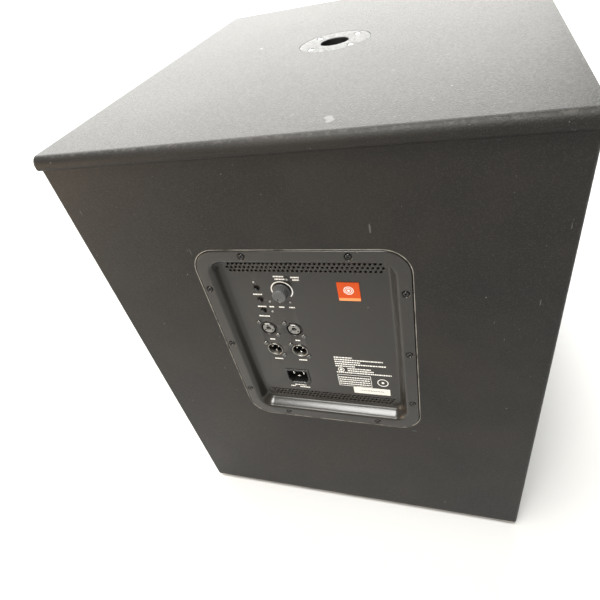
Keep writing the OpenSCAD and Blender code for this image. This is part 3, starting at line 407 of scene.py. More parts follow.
FINISHES = {name: make(name, *values).material for name, make, *values in (
    ("cabinet_coating", coating),
    ("baffle_paint", moulded, 0.014, 0.7, 600, 0.2),
    ("bare_wood", plywood),
    ("lining_fibre", fibre, (0.10, 0.105, 0.115), (0.32, 0.33, 0.35)),
    ("foot_rubber", rubber, (0.018, 0.018, 0.019)),
    ("zinc_screws", metal, (0.66, 0.66, 0.64), 0.28),
    ("handle_plastic", moulded, (0.020, 0.020, 0.021), 0.5, 900, 0.12),
    ("handle_grip", rubber, (0.014, 0.014, 0.015), 900, 0.08),
    ("black_steel", moulded, 0.014, 0.5, 1400, 0.03),
    ("grille_steel", moulded, (0.016, 0.016, 0.017), 0.4, 1500, 0.05),
    ("grille_foam", foam, 0.008),
    ("port_plastic", moulded, 0.016, 0.35, 700, 0.03),
    ("basket_metal", moulded, (0.022, 0.022, 0.021), 0.42, 600, 0.12),
    ("gasket_foam", rubber, 0.012, 1100, 0.2),
    ("surround_cloth", cloth, 0.018, (0.035, 0.034, 0.033), 0.9),
    ("cone_paper", paper),
    ("dust_cap", moulded, 0.020, 0.55, 700, 0.15),
    ("spider_cloth", cloth, (0.45, 0.25, 0.05), (0.30, 0.15, 0.03), 0.8),
    ("former_film", moulded, (0.55, 0.36, 0.10), 0.3, 500, 0.01),
    ("coil_copper", windings),
    ("magnet_steel", metal, (0.50, 0.49, 0.44), 0.35, (1, 10, 1)),
    ("ferrite", ferrite),
    ("terminal_board", moulded, (0.22, 0.05, 0.03)),
    ("panel_paint", panel_paint),
    ("chassis_metal", metal, (0.60, 0.61, 0.60), 0.38, (1, 1, 8)),
    ("circuit_board", circuit_board),
    ("heatsink_metal", metal, (0.62, 0.63, 0.64), 0.35, (1, 1, 12)),
    ("transformer_core", metal, (0.30, 0.22, 0.08), 0.5, (1, 14, 1), 0.15),
    ("capacitor_sleeve", sleeve),
    ("socket_plastic", moulded, 0.012, 0.3, 1500, 0.02),
    ("insert_plastic", moulded, (0.20, 0.20, 0.19), 0.4, 1500, 0.02),
    ("socket_metal", metal, (0.42, 0.41, 0.38), 0.34),
    ("contact_metal", metal, (0.78, 0.77, 0.74), 0.2),
    ("knob_plastic", moulded, (0.075, 0.077, 0.078), 0.42, 1300, 0.03),
    ("shaft_metal", metal, (0.62, 0.62, 0.60), 0.3, (1, 12, 1)),
    ("control_body", moulded, (0.035, 0.037, 0.040)),
    ("button_plastic", moulded, 0.012, 0.22, 1500, 0.01),
    ("light_lens", lens),
    ("badge_orange", ink, (0.60, 0.070, 0.001)),
    # The rest are not slot names: finishes for pieces that pass a slot name of their own
    ("shiny_black_steel", moulded, 0.014, 0.2, 1400, 0.01),
    ("dark_zinc", metal, (0.20, 0.20, 0.19), 0.25),
    ("white_ink", ink, (0.88, 0.87, 0.83)),
    ("label_paper", ink, (0.78, 0.76, 0.70)),
    ("pale_orange", ink, (0.86, 0.33, 0.12)),
    ("grey_ink", ink, 0.30),
)}


# ---- Building pieces ----

def settle(piece, finish, body=CABINET, slot=None, replaces=(), smooth=32):
    """Gives a finished mesh its material, smooth shading and its body, and hides the nodes it replaces."""
    piece.data.materials.clear()
    piece.data.materials.append(FINISHES[finish])
    piece.data.shade_smooth()
    piece.data.set_sharp_from_angle(angle=math.radians(smooth))
    normals = piece.modifiers.new("even_normals", "WEIGHTED_NORMAL")
    normals.keep_sharp, normals.weight = True, 100
    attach(piece, body)
    if replaces:
        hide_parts(*replaces)
    return piece


def to_object(bm, name):
    mesh = bpy.data.meshes.new(name)
    bm.to_mesh(mesh)
    bm.free()
    piece = bpy.data.objects.new(name, mesh)
    bpy.context.scene.collection.objects.link(piece)
    return piece


def circle(radius, count=32, x=0.0, y=0.0, turn=0.0):
    return [(x + radius * math.cos(turn + i * math.tau / count),
             y + radius * math.sin(turn + i * math.tau / count)) for i in range(count)]


def rounded(width, height, radius, steps=8, x=0.0, y=0.0):
    """Outline of a rectangle with round corners."""
    points = []
    for corner, (sx, sy) in enumerate(((1, 1), (-1, 1), (-1, -1), (1, -1))):
        cx, cy = sx * (width / 2 - radius), sy * (height / 2 - radius)
        for i in range(steps + 1):
            a = math.radians(90 * corner + 90 * i / steps)
            points.append((x + cx + radius * math.cos(a), y + cy + radius * math.sin(a)))
    return points


class Shape:
    """Points and faces of one piece, in millimetres around a place on the cabinet."""

    def __init__(self, place):
        self.place, self.points, self.faces = place, [], []

    def ring(self, outline, z):
        start = len(self.points)
        self.points += [self.place(x, y, z) for x, y in outline]
        return list(range(start, len(self.points)))

    def bridge(self, a, b):
        n = len(a)
        self.faces += [(a[i], a[(i + 1) % n], b[(i + 1) % n], b[i]) for i in range(n)]

    def loft(self, sections, cap_start=False, cap_end=False):
        """Skin over (outline, height) sections that have the same number of points."""
        rings = [self.ring(outline, z) for outline, z in sections]
        for a, b in zip(rings, rings[1:]):
            self.bridge(a, b)
        if cap_start:
            self.faces.append(tuple(rings[0]))
        if cap_end:
            self.faces.append(tuple(rings[-1]))
        return rings

    def lathe(self, profile, count=48, x=0.0, y=0.0, close=False, shape=lambda angle, radius: radius):
        """Turns (radius, height) points about z; shape(angle, radius) may change the radius."""
        angles = [i * math.tau / count for i in range(count)]
        sections = [([(x + shape(a, r) * math.cos(a), y + shape(a, r) * math.sin(a)) for a in angles], z)
                    for r, z in profile]
        rings = self.loft(sections, not close, not close)
        if close:
            self.bridge(rings[-1], rings[0])

    def sheet(self, outline, holes, z):
        """Flat face at height z inside an outline, with holes left open."""
        flat, edges, owner = [], [], []
        for number, loop in enumerate([outline, *holes]):
            start, n = len(flat), len(loop)
            flat += [Vector(p) for p in loop]
            edges += [(start + i, start + (i + 1) % n) for i in range(n)]
            owner += [number] * n
        points, _, faces, sources, _, _ = delaunay_2d_cdt(flat, edges, [], 1, 1e-7)
        base = len(self.points)
        self.points += [self.place(p.x, p.y, z) for p in points]
        for face in faces:
            loops = {owner[sources[i][0]] for i in face}
            if len(loops) > 1 or loops == {0}:
                self.faces.append(tuple(base + i for i in face))

    def block(self, x0, x1, y0, y1, z0, z1):
        self.loft([([(x0, y0), (x1, y0), (x1, y1), (x0, y1)], z) for z in (z0, z1)], True, True)

    def filled(self):
        bm = bmesh.new()
        verts = [bm.verts.new(p) for p in self.points]
        for face in self.faces:
            bm.faces.new([verts[i] for i in face])
        return bm

    def build(self, name, finish, outward=None, thickness=0.0, bevel=0.0, **where):
        """Makes the piece; outward is a way that an open sheet faces, and thickness its wall behind that."""
        bm = self.filled()
        bmesh.ops.remove_doubles(bm, verts=bm.verts, dist=SAME_PLACE)
        bmesh.ops.recalc_face_normals(bm, faces=bm.faces)
        if outward:
            total = sum((f.normal * f.calc_area() for f in bm.faces), Vector())
            if total.dot(Vector(outward)) < 0:
                bmesh.ops.reverse_faces(bm, faces=bm.faces)
        if bevel:
            bevel_edges(bm, bevel)
        piece = to_object(bm, name)
        if thickness:
            wall = piece.modifiers.new("wall", "SOLIDIFY")
            wall.thickness, wall.offset = thickness * MM, -1
        return settle(piece, finish, **where)


def bevel_edges(bm, width, chosen=None, angle=30, segments=2):
    edges = [e for e in bm.edges if len(e.link_faces) == 2
             and e.calc_face_angle(0) > math.radians(angle)
             and (chosen is None or chosen((e.verts[0].co + e.verts[1].co) / 2 / MM))]
    bmesh.ops.bevel(bm, geom=edges, offset=width * MM, segments=segments, profile=0.6, affect="EDGES",
                    clamp_overlap=True)


def softened(node, finish, width, chosen=None, body=CABINET, slot=None):
    """A CAD node's own shape with its hard edges rounded, which stands for the node."""
    bm = bmesh.new()
    bm.from_mesh(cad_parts[node].data)
    bmesh.ops.remove_doubles(bm, verts=bm.verts, dist=SAME_PLACE)
    bmesh.ops.dissolve_limit(bm, angle_limit=math.radians(0.5), verts=bm.verts, edges=bm.edges)
    if width:
        bevel_edges(bm, width, chosen)
    return settle(to_object(bm, node + "_finished"), finish, body, slot, [node])


# ---- Cabinet ----

def top_edges(p):
    """The top panel's two ends and the rim of its socket recess."""
    return abs(p.x) > HALF_WIDTH - 0.1 or math.hypot(p.x, p.y) < 60


def rebate_edges(p):
    """The rim and the ledge of the rear panel's cut-out."""
    return abs(p.x) < PLATE_WIDTH / 2 + 4 and abs(p.z - PLATE_Z) < PLATE_HEIGHT / 2 + 4


def sill_edges(p):
    """The lower rear edge of the bottom panel."""
    return p.z < BASE_Z + 0.1 and p.y > REAR - 0.1


def foot_edges(p):
    """Lower outside edges of the cabinet."""
    return p.z < BASE_Z + 0.1 and abs(p.x) > HALF_WIDTH - 5


def cabinet():
    softened("top_panel", "cabinet_coating", 1.0, top_edges)
    softened("back_panel", "cabinet_coating", 0.6, rebate_edges)
    softened("bottom_panel", "cabinet_coating", 1.2, sill_edges)
    for side in ("left", "right"):
        softened(side + "_side_panel", "cabinet_coating", 1.2, foot_edges)
    softened("front_baffle", "baffle_paint", 0.5)
    softened("window_brace", "bare_wood", 1.0)
    softened("grille_battens", "baffle_paint", 0.8, slot="bare_wood")


def feet():
    shape = Shape(lambda x, y, z: Vector((x, y, z)) * MM)
    screw_recess, recess_radius, screw_hole = 5, 7, 2.3
    for low, high in solids("rubber_feet"):
        x, y, r, h = (low.x + high.x) / 2, (low.y + high.y) / 2, (high.x - low.x) / 2, high.z
        shape.lathe([(recess_radius, screw_recess), (recess_radius, 0.6), (recess_radius + 0.6, 0),
                     (r - 3.4, 0), (r - 2.2, 0.5), (r - 1.7, 1.5), (r - 0.9, h - 2), (r - 0.7, h - 0.4),
                     (r, h), (screw_hole, h), (screw_hole, screw_recess)], 48, x, y, close=True)
    shape.build("rubber_feet_turned", "foot_rubber", replaces=["rubber_feet"])


def padding():
    """Fibre lining and grille foam: slabs with soft, uneven faces."""
    for number, (low, high) in enumerate(solids("damping_lining")):
        soft_slab(f"lining_pad_{number}", "lining_fibre", low, high, 14, 5.0, 6,
                  ["damping_lining"] if number == 0 else [])
    low, high = box_mm("grille_foam")
    soft_slab("grille_foam_sheet", "grille_foam", low, high, 20, 0.5, 1.2, ["grille_foam"])


def soft_slab(name, finish, low, high, pitch, dent, corner, replaces):
    """A slab of padding with rounded rims and gentle hollows, kept inside its box."""
    bm = bmesh.new()
    size = high - low
    bmesh.ops.create_cube(bm, size=1)
    bmesh.ops.scale(bm, vec=size * MM, verts=bm.verts)
    bmesh.ops.translate(bm, vec=(low + high) / 2 * MM, verts=bm.verts)
    bevel_edges(bm, corner, segments=3)
    for axis in range(3):
        cells = int(size[axis] / pitch)
        for step in range(1, cells):
            at = Vector((low + high) / 2 * MM)
            at[axis] = (low[axis] + step * size[axis] / cells) * MM
            bmesh.ops.bisect_plane(bm, geom=bm.verts[:] + bm.edges[:] + bm.faces[:], plane_co=at,
                                   plane_no=[1.0 if i == axis else 0.0 for i in range(3)])
    bm.normal_update()
    for v in bm.verts:
        hollow = 0.5 + 0.5 * noise.noise(v.co * 22) + 0.3 * noise.noise(v.co * 75)
        v.co -= v.normal * max(hollow, 0) * dent * MM
    piece = settle(to_object(bm, name), finish, replaces=replaces, smooth=60)


# ---- Screws ----

def screws(name, node, finish, direction, head_radius, head_height, drive="cross", slot=None):
    """Domed heads with a drive recess on every screw of a node; direction points out of the head."""
    out = Vector(direction)
    side = Vector((1, 0, 0)) if abs(out.x) < 0.5 else Vector((0, 1, 0))
    up = out.cross(side)
    shape = Shape(lambda x, y, z: (side * x + up * y + out * z) * MM)
    for low, high in solids(node):
        centre = (low + high) / 2
        tip, tail = (high, low) if sum(out) > 0 else (low, high)
        x, y = centre.dot(side), centre.dot(up)
        top, bottom = tip.dot(out), tail.dot(out)
        seat, shank = top - head_height, head_radius * 0.55
        turn = random.Random(f"{x:.0f} {y:.0f}").uniform(0, math.pi / 2)

        def recess(angle, r, turn=turn):
            if r > head_radius * 0.5:
                return r
            if drive == "hex":
                step = math.radians(60)
                a = (angle + turn) % step - step / 2
                return r * math.cos(step / 2) / math.cos(a)
            wave = abs(math.cos(2 * (angle + turn)))
            return r * (0.34 + 0.66 * wave ** 3)
        dome = [(head_radius * r, seat + head_height * h) for r, h in
                ((0.93, 0), (1, 0.12), (0.97, 0.45), (0.83, 0.80), (0.62, 0.97))]
        shape.lathe([(0.3, bottom), (shank * 0.75, bottom + 0.8), (shank, bottom + 2), (shank, seat), *dome,
                     (head_radius * 0.495, top), (head_radius * 0.46, top - head_height * 0.2),
                     (head_radius * 0.33, seat + head_height * 0.35)], 40, x, y, shape=recess)
    shape.build(name, finish, slot=slot, replaces=[node], smooth=38)


def all_screws():
    screws("amp_screw_set", "amp_screws", "shiny_black_steel", (0, 1, 0), 3.1, 1.9, "hex", "black_steel")
    screws("socket_screw_set", "socket_screws", "dark_zinc", (0, 1, 0), 2.9, 1.7, slot="zinc_screws")
    screws("pole_screw_set", "pole_socket_screws", "zinc_screws", (0, 0, 1), 3.8, 1.5)
    screws("foot_screw_set", "foot_screws", "zinc_screws", (0, 0, -1), 5, 2.6)
    screws("woofer_screw_set", "woofer_screws", "black_steel", (0, -1, 0), 5, 3, "hex")
    screws("grille_screw_set", "grille_screws", "black_steel", (0, -1, 0), 4, 1.2)
    handle_screws()


def handle_screws():
    """The handle screws face out on both sides, so each side takes its own direction."""
    shape = Shape(lambda x, y, z: Vector((x, y, z)) * MM)
    for low, high in solids("handle_screws"):
        out = 1 if low.x > 0 else -1
        tip, tail = (high.x, low.x) if out > 0 else (low.x, high.x)
        y, z = (low.y + high.y) / 2, (low.z + high.z) / 2
        shape.place = lambda a, b, c, y=y, z=z, out=out, tip=tip: Vector((tip + out * c, y + a, z + b)) * MM
        length = abs(tip - tail)

        def recess(angle, r):
            return r if r > 1.9 else r * (0.34 + 0.66 * abs(math.cos(2 * angle)) ** 3)
        shape.lathe([(0.4, -length), (1.9, -length + 2), (2, -1.5), (3.5, -1.5), (3.8, -1.3), (3.6, -0.6),
                     (2.8, -0.12), (1.88, 0), (1.7, -0.4), (1.2, -0.9)], 40, shape=recess)
    shape.build("handle_screw_set", "zinc_screws", replaces=["handle_screws"], smooth=38)


# ---- Dished panels: the amplifier panel, the handle cups and the pole socket ----

def seat(shape, x, y, z, profile, count=32):
    """A round hollow in a flat face, as (radius, depth) rings from its rim down."""
    shape.loft([(circle(r, count, x, y), z - d) for r, d in profile])


def s_curve(points, count):
    """A cubic curve from its four control points."""
    curve = []
    for i in range(count + 1):
        t = i / count
        weights = ((1 - t) ** 3, 3 * t * (1 - t) ** 2, 3 * t * t * (1 - t), t ** 3)
        curve.append(tuple(sum(w * p[axis] for w, p in zip(weights, points)) for axis in (0, 1)))
    return curve


FLANGE_WIDTH = 14
MOUTH_WIDTH, MOUTH_HEIGHT = PLATE_WIDTH - 2 * FLANGE_WIDTH, PLATE_HEIGHT - 2 * FLANGE_WIDTH
MOUTH_CORNER = 18
VENT_PITCH, VENT_ROW_PITCH, VENT_RADIUS = 5.35, 4.8, 1.5
DIMPLE_RADIUS = 5.0
DIMPLE = [(DIMPLE_RADIUS, 0), (4.8, 0.06), (4.5, 0.28), (4.1, 0.68), (3.7, 1.15), (3.4, 1.48), (3.2, 1.6),
          (2.4, 1.6), (2.3, 2.1)]


def vent_places():
    """Staggered rows of cooling holes, three above the controls and three below."""
    floor_height = MOUTH_HEIGHT - 20
    rows = zip((33, 34, 33, 31, 32, 33),
               [floor_height / 2 - 13 + i * VENT_ROW_PITCH for i in range(3)]
               + [-floor_height / 2 + 5 + i * VENT_ROW_PITCH for i in range(3)])
    return [((i - (count - 1) / 2) * VENT_PITCH, z) for count, z in rows for i in range(count)]


def inlet_outline(grow):
    """Six-sided outline of the mains inlet."""
    low, high = box_mm("mains_inlet")
    x = (high.x - low.x) / 2 - 3.4 + grow
    y = (high.z - low.z) / 2 - 3.4 + grow
    return [(-x, y), (-x, -y + 6), (-x + 4.8, -y), (x - 4.8, -y), (x, -y + 6), (x, y)]


def shifted(outline, x, y):
    return [(x + a, y + b) for a, b in outline]


def amp_plate():
    """The pressed panel: rolled outer edge, dimpled flange, S-curved wall and a floor full of holes."""
    shape = Shape(on_rear())
    roll, depth = 1.1, FLANGE - FLOOR
    wall_start, wall_end = -1.9, 11.4

    def outline(inset):
        return rounded(PLATE_WIDTH - 2 * inset, PLATE_HEIGHT - 2 * inset, PLATE_CORNER - inset, 10)

    def mouth(inset):
        return rounded(MOUTH_WIDTH - 2 * inset, MOUTH_HEIGHT - 2 * inset, MOUTH_CORNER - inset, 10)

    edge = [(outline(0), FLANGE - 3), (outline(0), FLANGE - roll)]
    for i in range(1, 5):
        a = math.radians(22.5 * i)
        edge.append((outline(roll * (1 - math.cos(a))), FLANGE - roll * (1 - math.sin(a))))
    shape.loft(edge)
    wall = s_curve([(wall_start, 0), (4.2, 0), (5.2, depth), (wall_end, depth)], 16)
    shape.loft([(mouth(u), FLANGE - d) for u, d in wall])
    screw_places = panel_places("amp_screws")
    dimples = [circle(DIMPLE_RADIUS, 32, x, z) for x, z in screw_places]
    shape.sheet(outline(roll), [mouth(wall_start), *dimples], FLANGE)
    for x, z in screw_places:
        seat(shape, x, z, FLANGE, DIMPLE)
    holes = [circle(VENT_RADIUS, 14, x, z) for x, z in vent_places()]
    for node, radius, count in (
            ("status_lights", 1.55, 20), ("combo_sockets", 10.85, 48), ("output_sockets", 10.25, 48),
            ("volume_knob", 4.15, 32), ("power_button", 3.25, 32), ("crossover_button", 3.25, 32),
            ("polarity_button", 3.25, 32)):
        holes += [circle(radius, count, x, z) for x, z in panel_places(node)]
    holes += [shifted(inlet_outline(2), x, z) for x, z in panel_places("mains_inlet")]
    shape.sheet(mouth(wall_end), holes, FLOOR)
    shape.build("amp_panel_dish", "panel_paint", outward=(0, 1, 0), thickness=2.0, replaces=["amp_plate"],
                smooth=24)


def handle_cup(side):
    """A moulded cup with a rolled lip, a deep rounded hollow and four countersunk holes."""
    node = side + "_handle_cup"
    low, high = box_mm(node)
    width, height = high.y - low.y, high.z - low.z
    depth = high.x - low.x - 3
    direction = 1 if side == "right" else -1
    screw_x, hole = 87, 4.4
    shape = Shape(on_side(direction, (low.z + high.z) / 2))
    length, opening, corner = width - 28, height - 28, 22

    def outline(inset):
        return rounded(width - 2 * inset, height - 2 * inset, corner - inset, 8)

    def hollow(inset):
        return rounded(length - 2 * inset, opening - 2 * inset, corner, 8)

    shape.loft([(outline(0), -2.9), (outline(0), -0.7), (outline(0.2), -0.2), (outline(0.8), 0)])
    wall = [(-1.8, 0), (-0.8, -0.15), (-0.2, -0.7), (0, -1.8), (0.1, -18), (5.2, -depth + 10),
            (6.6, -depth + 5), (9.2, -depth + 1.6), (14, -depth)]
    rings = shape.loft([(hollow(u), z) for u, z in wall])
    shape.faces.append(tuple(rings[-1]))
    places = [(x, z) for x in (-screw_x, screw_x) for z in (-opening / 4, opening / 4)]
    shape.sheet(outline(0.8), [hollow(-1.8), *[circle(hole, 24, x, z) for x, z in places]], 0)
    for x, z in places:
        seat(shape, x, z, 0, [(hole, 0), (4.25, 0.15), (4.2, 1.6), (2.2, 1.6), (2.2, 2.2)], 24)
    shape.build(f"{side}_handle_shell", "handle_plastic", outward=(direction, 0, 0), thickness=2.0,
                replaces=[node], smooth=40)


def handle_cups():
    handle_cup("left")
    handle_cup("right")


def handle_grips():
    """Ribbed grip bars across the cups."""
    shape = Shape(None)
    for low, high in solids("handle_bars"):
        x, z, r = (low.x + high.x) / 2, (low.z + high.z) / 2, (high.z - low.z) / 2
        length = high.y - low.y
        # a grip's own z runs along the cabinet's depth
        shape.place = lambda a, b, c, x=x, z=z: Vector((x + a, c, z + b)) * MM
        profile = [(r * 0.6, -length / 2), (r - 1.2, -length / 2), (r - 0.9, -length / 2 + 14)]
        ribs, plain_end = 22, 18
        pitch = (length - 2 * plain_end) / ribs
        for i in range(ribs):
            start = -length / 2 + plain_end + i * (length - 2 * plain_end) / ribs
            profile += [(r - 0.9, start), (r - 0.15, start + pitch * 0.22), (r, start + pitch * 0.5),
                        (r - 0.15, start + pitch * 0.78)]
        profile += [(r - 0.9, length / 2 - plain_end), (r - 0.9, length / 2 - 14), (r - 1.2, length / 2),
                    (r * 0.6, length / 2)]
        shape.lathe(profile, 40)
    shape.build("handle_grips", "handle_grip", replaces=["handle_bars"], smooth=50)


def pole_socket():
    """Flanged socket with a chamfered mouth, countersunk flange holes and a threaded floor."""
    low, high = box_mm("pole_socket")
    flange, tube, bore, tap, root = (high.x - low.x) / 2, 22, 17.9, 8.75, 9.6
    length, depth, thread_pitch = high.z - low.z, 58, 2.5
    mouth, screw_circle, hole = bore + 1.4, 36, 4.4
    shape = Shape(on_top)

    def rings(*profile):
        return [(circle(r, 64), z) for r, z in profile]

    shape.loft(rings((flange, -3), (flange, -0.8), (flange - 0.25, -0.25), (flange - 0.8, 0)))
    places = [(screw_circle * math.cos(math.radians(a)), screw_circle * math.sin(math.radians(a)))
              for a in (45, 135, 225, 315)]
    screw_holes = [circle(hole, 24, x, y) for x, y in places]
    shape.sheet(circle(flange - 0.8, 64), [circle(mouth, 64), *screw_holes], 0)
    for x, y in places:
        seat(shape, x, y, 0, [(hole, 0), (4.2, 0.2), (4.2, 1.6), (2.2, 1.6), (2.2, 3)], 24)
    thread = []
    for i in range(5):
        z = -depth - 0.8 - i * thread_pitch
        thread += [(tap, z), (root, z - 1.1), (root, z - 1.5), (tap, z - 2.4)]
    shape.loft(rings((mouth, 0), (bore + 0.5, -0.5), (bore, -1.6), (bore, -depth + 0.4), (bore - 0.5, -depth),
                     (root, -depth), *thread, (tap, -length), (tube - 0.6, -length), (tube, -length + 0.6),
                     (tube, -4.5), (tube + 1.5, -3), (flange, -3)))
    shape.build("pole_socket_turned", "black_steel", replaces=["pole_socket"])


# ---- Rear panel fittings ----

THROAT_DEPTH = 18
PRINT_LOW, PRINT_TOP = FLOOR - 0.05, FLOOR + 0.06

def volume_knob():
    (px, pz), = panel_places("volume_knob")
    low, high = box_mm("volume_knob")
    radius = (high.x - low.x) / 2
    base, top = rear_span("volume_knob")
    shape = Shape(on_rear(px, pz))
    pointer = math.radians(240)

    def flutes(angle, r):
        if r < radius - 2.4 or r > radius - 0.45:
            return r
        return r - 0.28 * max(0.0, math.cos(20 * angle)) ** 2

    shape.lathe([(3.05, base), (radius - 0.3, base), (radius, base + 0.4), (radius, base + 1.5),
                 (radius - 0.35, base + 2.0), (radius - 0.75, base + 2.2), (radius - 1.0, base + 4.5),
                 (radius - 1.5, top - 1.6), (radius - 1.8, top - 0.8), (radius - 2.5, top - 0.15),
                 (radius - 3.1, top), (radius - 3.6, top - 0.1), (radius - 4.2, top - 0.35), (2.2, top - 0.6),
                 (0.5, top - 0.62)], 160, shape=flutes)
    shape.build("volume_knob_fluted", "knob_plastic", body="knob_assembly", replaces=["volume_knob"],
                smooth=50)
    # Painted shade: the pointer is a black strip, standing in for the shaded side of the knob's pointer.
    mark = Shape(lambda x, y, z: on_rear(px, pz)(x * math.cos(pointer) - y * math.sin(pointer),
                                                 x * math.sin(pointer) + y * math.cos(pointer), z))
    inner, outer = radius - 6.4, radius - 2.7
    mark.loft([([(inner, -0.45), (outer, -0.55), (outer, 0.55), (inner, 0.45)], z)
               for z in (top - 0.5, top)], True, True)
    mark.build("knob_pointer", "button_plastic", body="knob_assembly", bevel=0.1)


def push_buttons():
    for key in ("power", "crossover", "polarity"):
        node = key + "_button"
        (px, pz), = panel_places(node)
        bottom, top = rear_span(node)
        shape = Shape(on_rear(px, pz))
        shape.lathe([(0.4, bottom), (1.6, bottom), (1.6, bottom + 3), (4.2, bottom + 3), (4.2, bottom + 4.2),
                     (3.0, bottom + 4.2), (3.0, top - 0.8), (2.9, top - 0.35), (2.6, top - 0.08), (2.1, top),
                     (1.2, top - 0.12), (0.3, top - 0.15)], 48)
        shape.build(node + "_cap", "button_plastic", body=key + "_key", replaces=[node], smooth=50)


def status_lights():
    bottom, top = rear_span("status_lights")
    shape = Shape(on_rear())
    for x, z in panel_places("status_lights"):
        shape.lathe([(0.3, bottom), (1.45, bottom), (1.45, top - 0.6), (1.3, top - 0.3), (0.9, top - 0.08),
                     (0.3, top)], 24, x, z)
    shape.build("status_light_lenses", "light_lens", replaces=["status_lights"], smooth=60)


def combo_sockets():
    """Black housings with a stepped ring and a release tab, around grey inserts with a jack hole."""
    back, face = rear_span("combo_sockets")
    shell, insert, tabs = Shape(on_rear()), Shape(on_rear()), Shape(on_rear())
    deep, top = face - THROAT_DEPTH, face - 0.7
    for x, z in panel_places("combo_sockets"):
        shell.lathe([(12.9, back), (12.9, FLOOR - 3.1), (10.7, FLOOR - 3.1), (10.8, FLOOR - 0.2),
                     (10.8, face - 0.25), (10.5, face), (9.9, face), (9.6, face - 0.35), (9.2, face - 0.8),
                     (9.2, deep), (0.5, deep), (0.5, back)], 64, x, z, close=True)
        rim = circle(7.6, 48, x, z)
        jack = circle(3.6, 32, x, z)
        pins = [circle(1.25, 16, x + 5.4 * math.cos(math.radians(a)), z + 5.4 * math.sin(math.radians(a)))
                for a in (90, 210, 330)]
        insert.loft([(rim, deep + 0.2), (rim, top - 0.4), (circle(7.2, 48, x, z), top)])
        insert.sheet(circle(7.2, 48, x, z), [jack, *pins], top)
        bottom_of_jack = circle(3.25, 32, x, z)
        insert.loft([(jack, top), (bottom_of_jack, top - 0.4), (bottom_of_jack, deep + 1)], cap_end=True)
        for pin in pins:
            insert.loft([(pin, top), (pin, top - 9)], cap_end=True)
        insert.faces.append(tuple(insert.ring(rim, deep + 0.2)))
        tabs.loft([([(x - w, z + 7.7), (x + w, z + 7.7), (x + w * 0.8, z + 9.0), (x - w * 0.8, z + 9.0)], h)
                   for w, h in ((3.4, face - 5), (3.4, face - 0.5), (3.0, face - 0.2))], True, True)
    shell.build("combo_socket_shells", "socket_plastic", replaces=["combo_sockets"])
    insert.build("combo_jack_inserts", "insert_plastic", replaces=["combo_inserts"])
    tabs.build("combo_release_tabs", "contact_metal", slot="socket_metal")


def output_sockets():
    """Flared metal rings around black wells with three pins."""
    back, face = rear_span("output_sockets")
    ring, well, pins = Shape(on_rear()), Shape(on_rear()), Shape(on_rear())
    deep = face - THROAT_DEPTH
    for x, z in panel_places("output_sockets"):
        ring.lathe([(10.1, FLOOR - 3.0), (10.2, FLOOR + 0.1), (10.15, face - 0.3), (9.9, face), (9.6, face),
                    (9.25, face - 0.4), (8.7, face - 5.2), (8.6, face - 6), (9.4, face - 6),
                    (9.9, face - 3.4)], 64, x, z, close=True)
        well.lathe([(12.9, back), (12.9, FLOOR - 3.1), (9.3, FLOOR - 3.1), (9.3, face - 6.1),
                    (8.5, face - 6.1), (8.5, deep), (0.5, deep), (0.5, back)], 64, x, z, close=True)
        for a in (270, 30, 150):
            px = x + 4.6 * math.cos(math.radians(a))
            pz = z + 4.6 * math.sin(math.radians(a))
            pins.lathe([(1.2, deep), (1.2, face - 4.1), (1.1, face - 3.5), (0.8, face - 3.0),
                        (0.3, face - 2.82)], 20, px, pz)
    ring.build("output_socket_rings", "socket_metal", replaces=["output_sockets"])
    well.build("output_socket_wells", "socket_plastic")
    pins.build("output_contact_pins", "contact_metal", replaces=["output_pins"], smooth=50)


def mains_inlet():
    """Six-sided inlet with a chamfered rim, a deep well and three blades."""
    (px, pz), = panel_places("mains_inlet")
    back, face = rear_span("mains_inlet")
    shape = Shape(on_rear(px, pz))
    sections = [(0.0, back), (1.75, back), (1.75, FLOOR), (3.4, FLOOR), (3.4, face - 0.5), (2.9, face),
                (0.9, face), (0.3, face - 0.8), (0.0, face - 2.0), (0.0, back + 3)]
    rings = shape.loft([(inlet_outline(grow), z) for grow, z in sections])
    shape.faces += [tuple(rings[0]), tuple(rings[-1])]
    shape.build("mains_inlet_body", "socket_plastic", replaces=["mains_inlet"], bevel=0.25)
    softened("mains_pins", "contact_metal", 0.5)


def flat_ring(shape, inner, outer, low, high, count, x=0.0, z=0.0):
    shape.lathe([(inner, low), (outer, low), (outer, high), (inner, high)], count, x, z, close=True)


def badge():
    """Plain orange plate with a paler foot and three generic rings."""
    low, high = box_mm("panel_badge")
    (px, pz), = panel_places("panel_badge")
    width, height = high.x - low.x, high.z - low.z
    face = high.y - REAR
    plate = Shape(on_rear(px, pz))
    outline = rounded(width, height, 1)
    plate.loft([(outline, FLOOR), (outline, face - 0.2), (rounded(width - 0.4, height - 0.4, 0.8), face)],
               True, True)
    plate.build("badge_plate", "badge_orange", replaces=["panel_badge"])
    strip = Shape(on_rear(px, pz - height / 2 + 2.3))
    strip.loft([(rounded(width - 0.6, 3.9, 0.7), z) for z in (face - 0.3, face + 0.05)], True, True)
    strip.build("badge_strip", "pale_orange", slot="badge_orange")
    rings = Shape(on_rear(px, pz + 2))
    for outer, inner, count in ((5.6, 4.7, 64), (3.7, 2.9, 64), (1.6, 0.1, 48)):
        flat_ring(rings, inner, outer, face - 0.2, face + 0.08, count)
    rings.build("badge_rings", "white_ink", slot="badge_orange")


def stroke(shape, x0, x1, z, height, gap, seed, top=PRINT_TOP):
    """A printed line that stands in for wording: short dashes with uneven lengths."""
    draw = random.Random(seed)
    x = x0
    while x < x1 - 0.4:
        length = min(draw.uniform(1.1, 3.4), x1 - x)
        shape.block(x, x + length, z - height / 2, z + height / 2, PRINT_LOW, top)
        x += length + gap


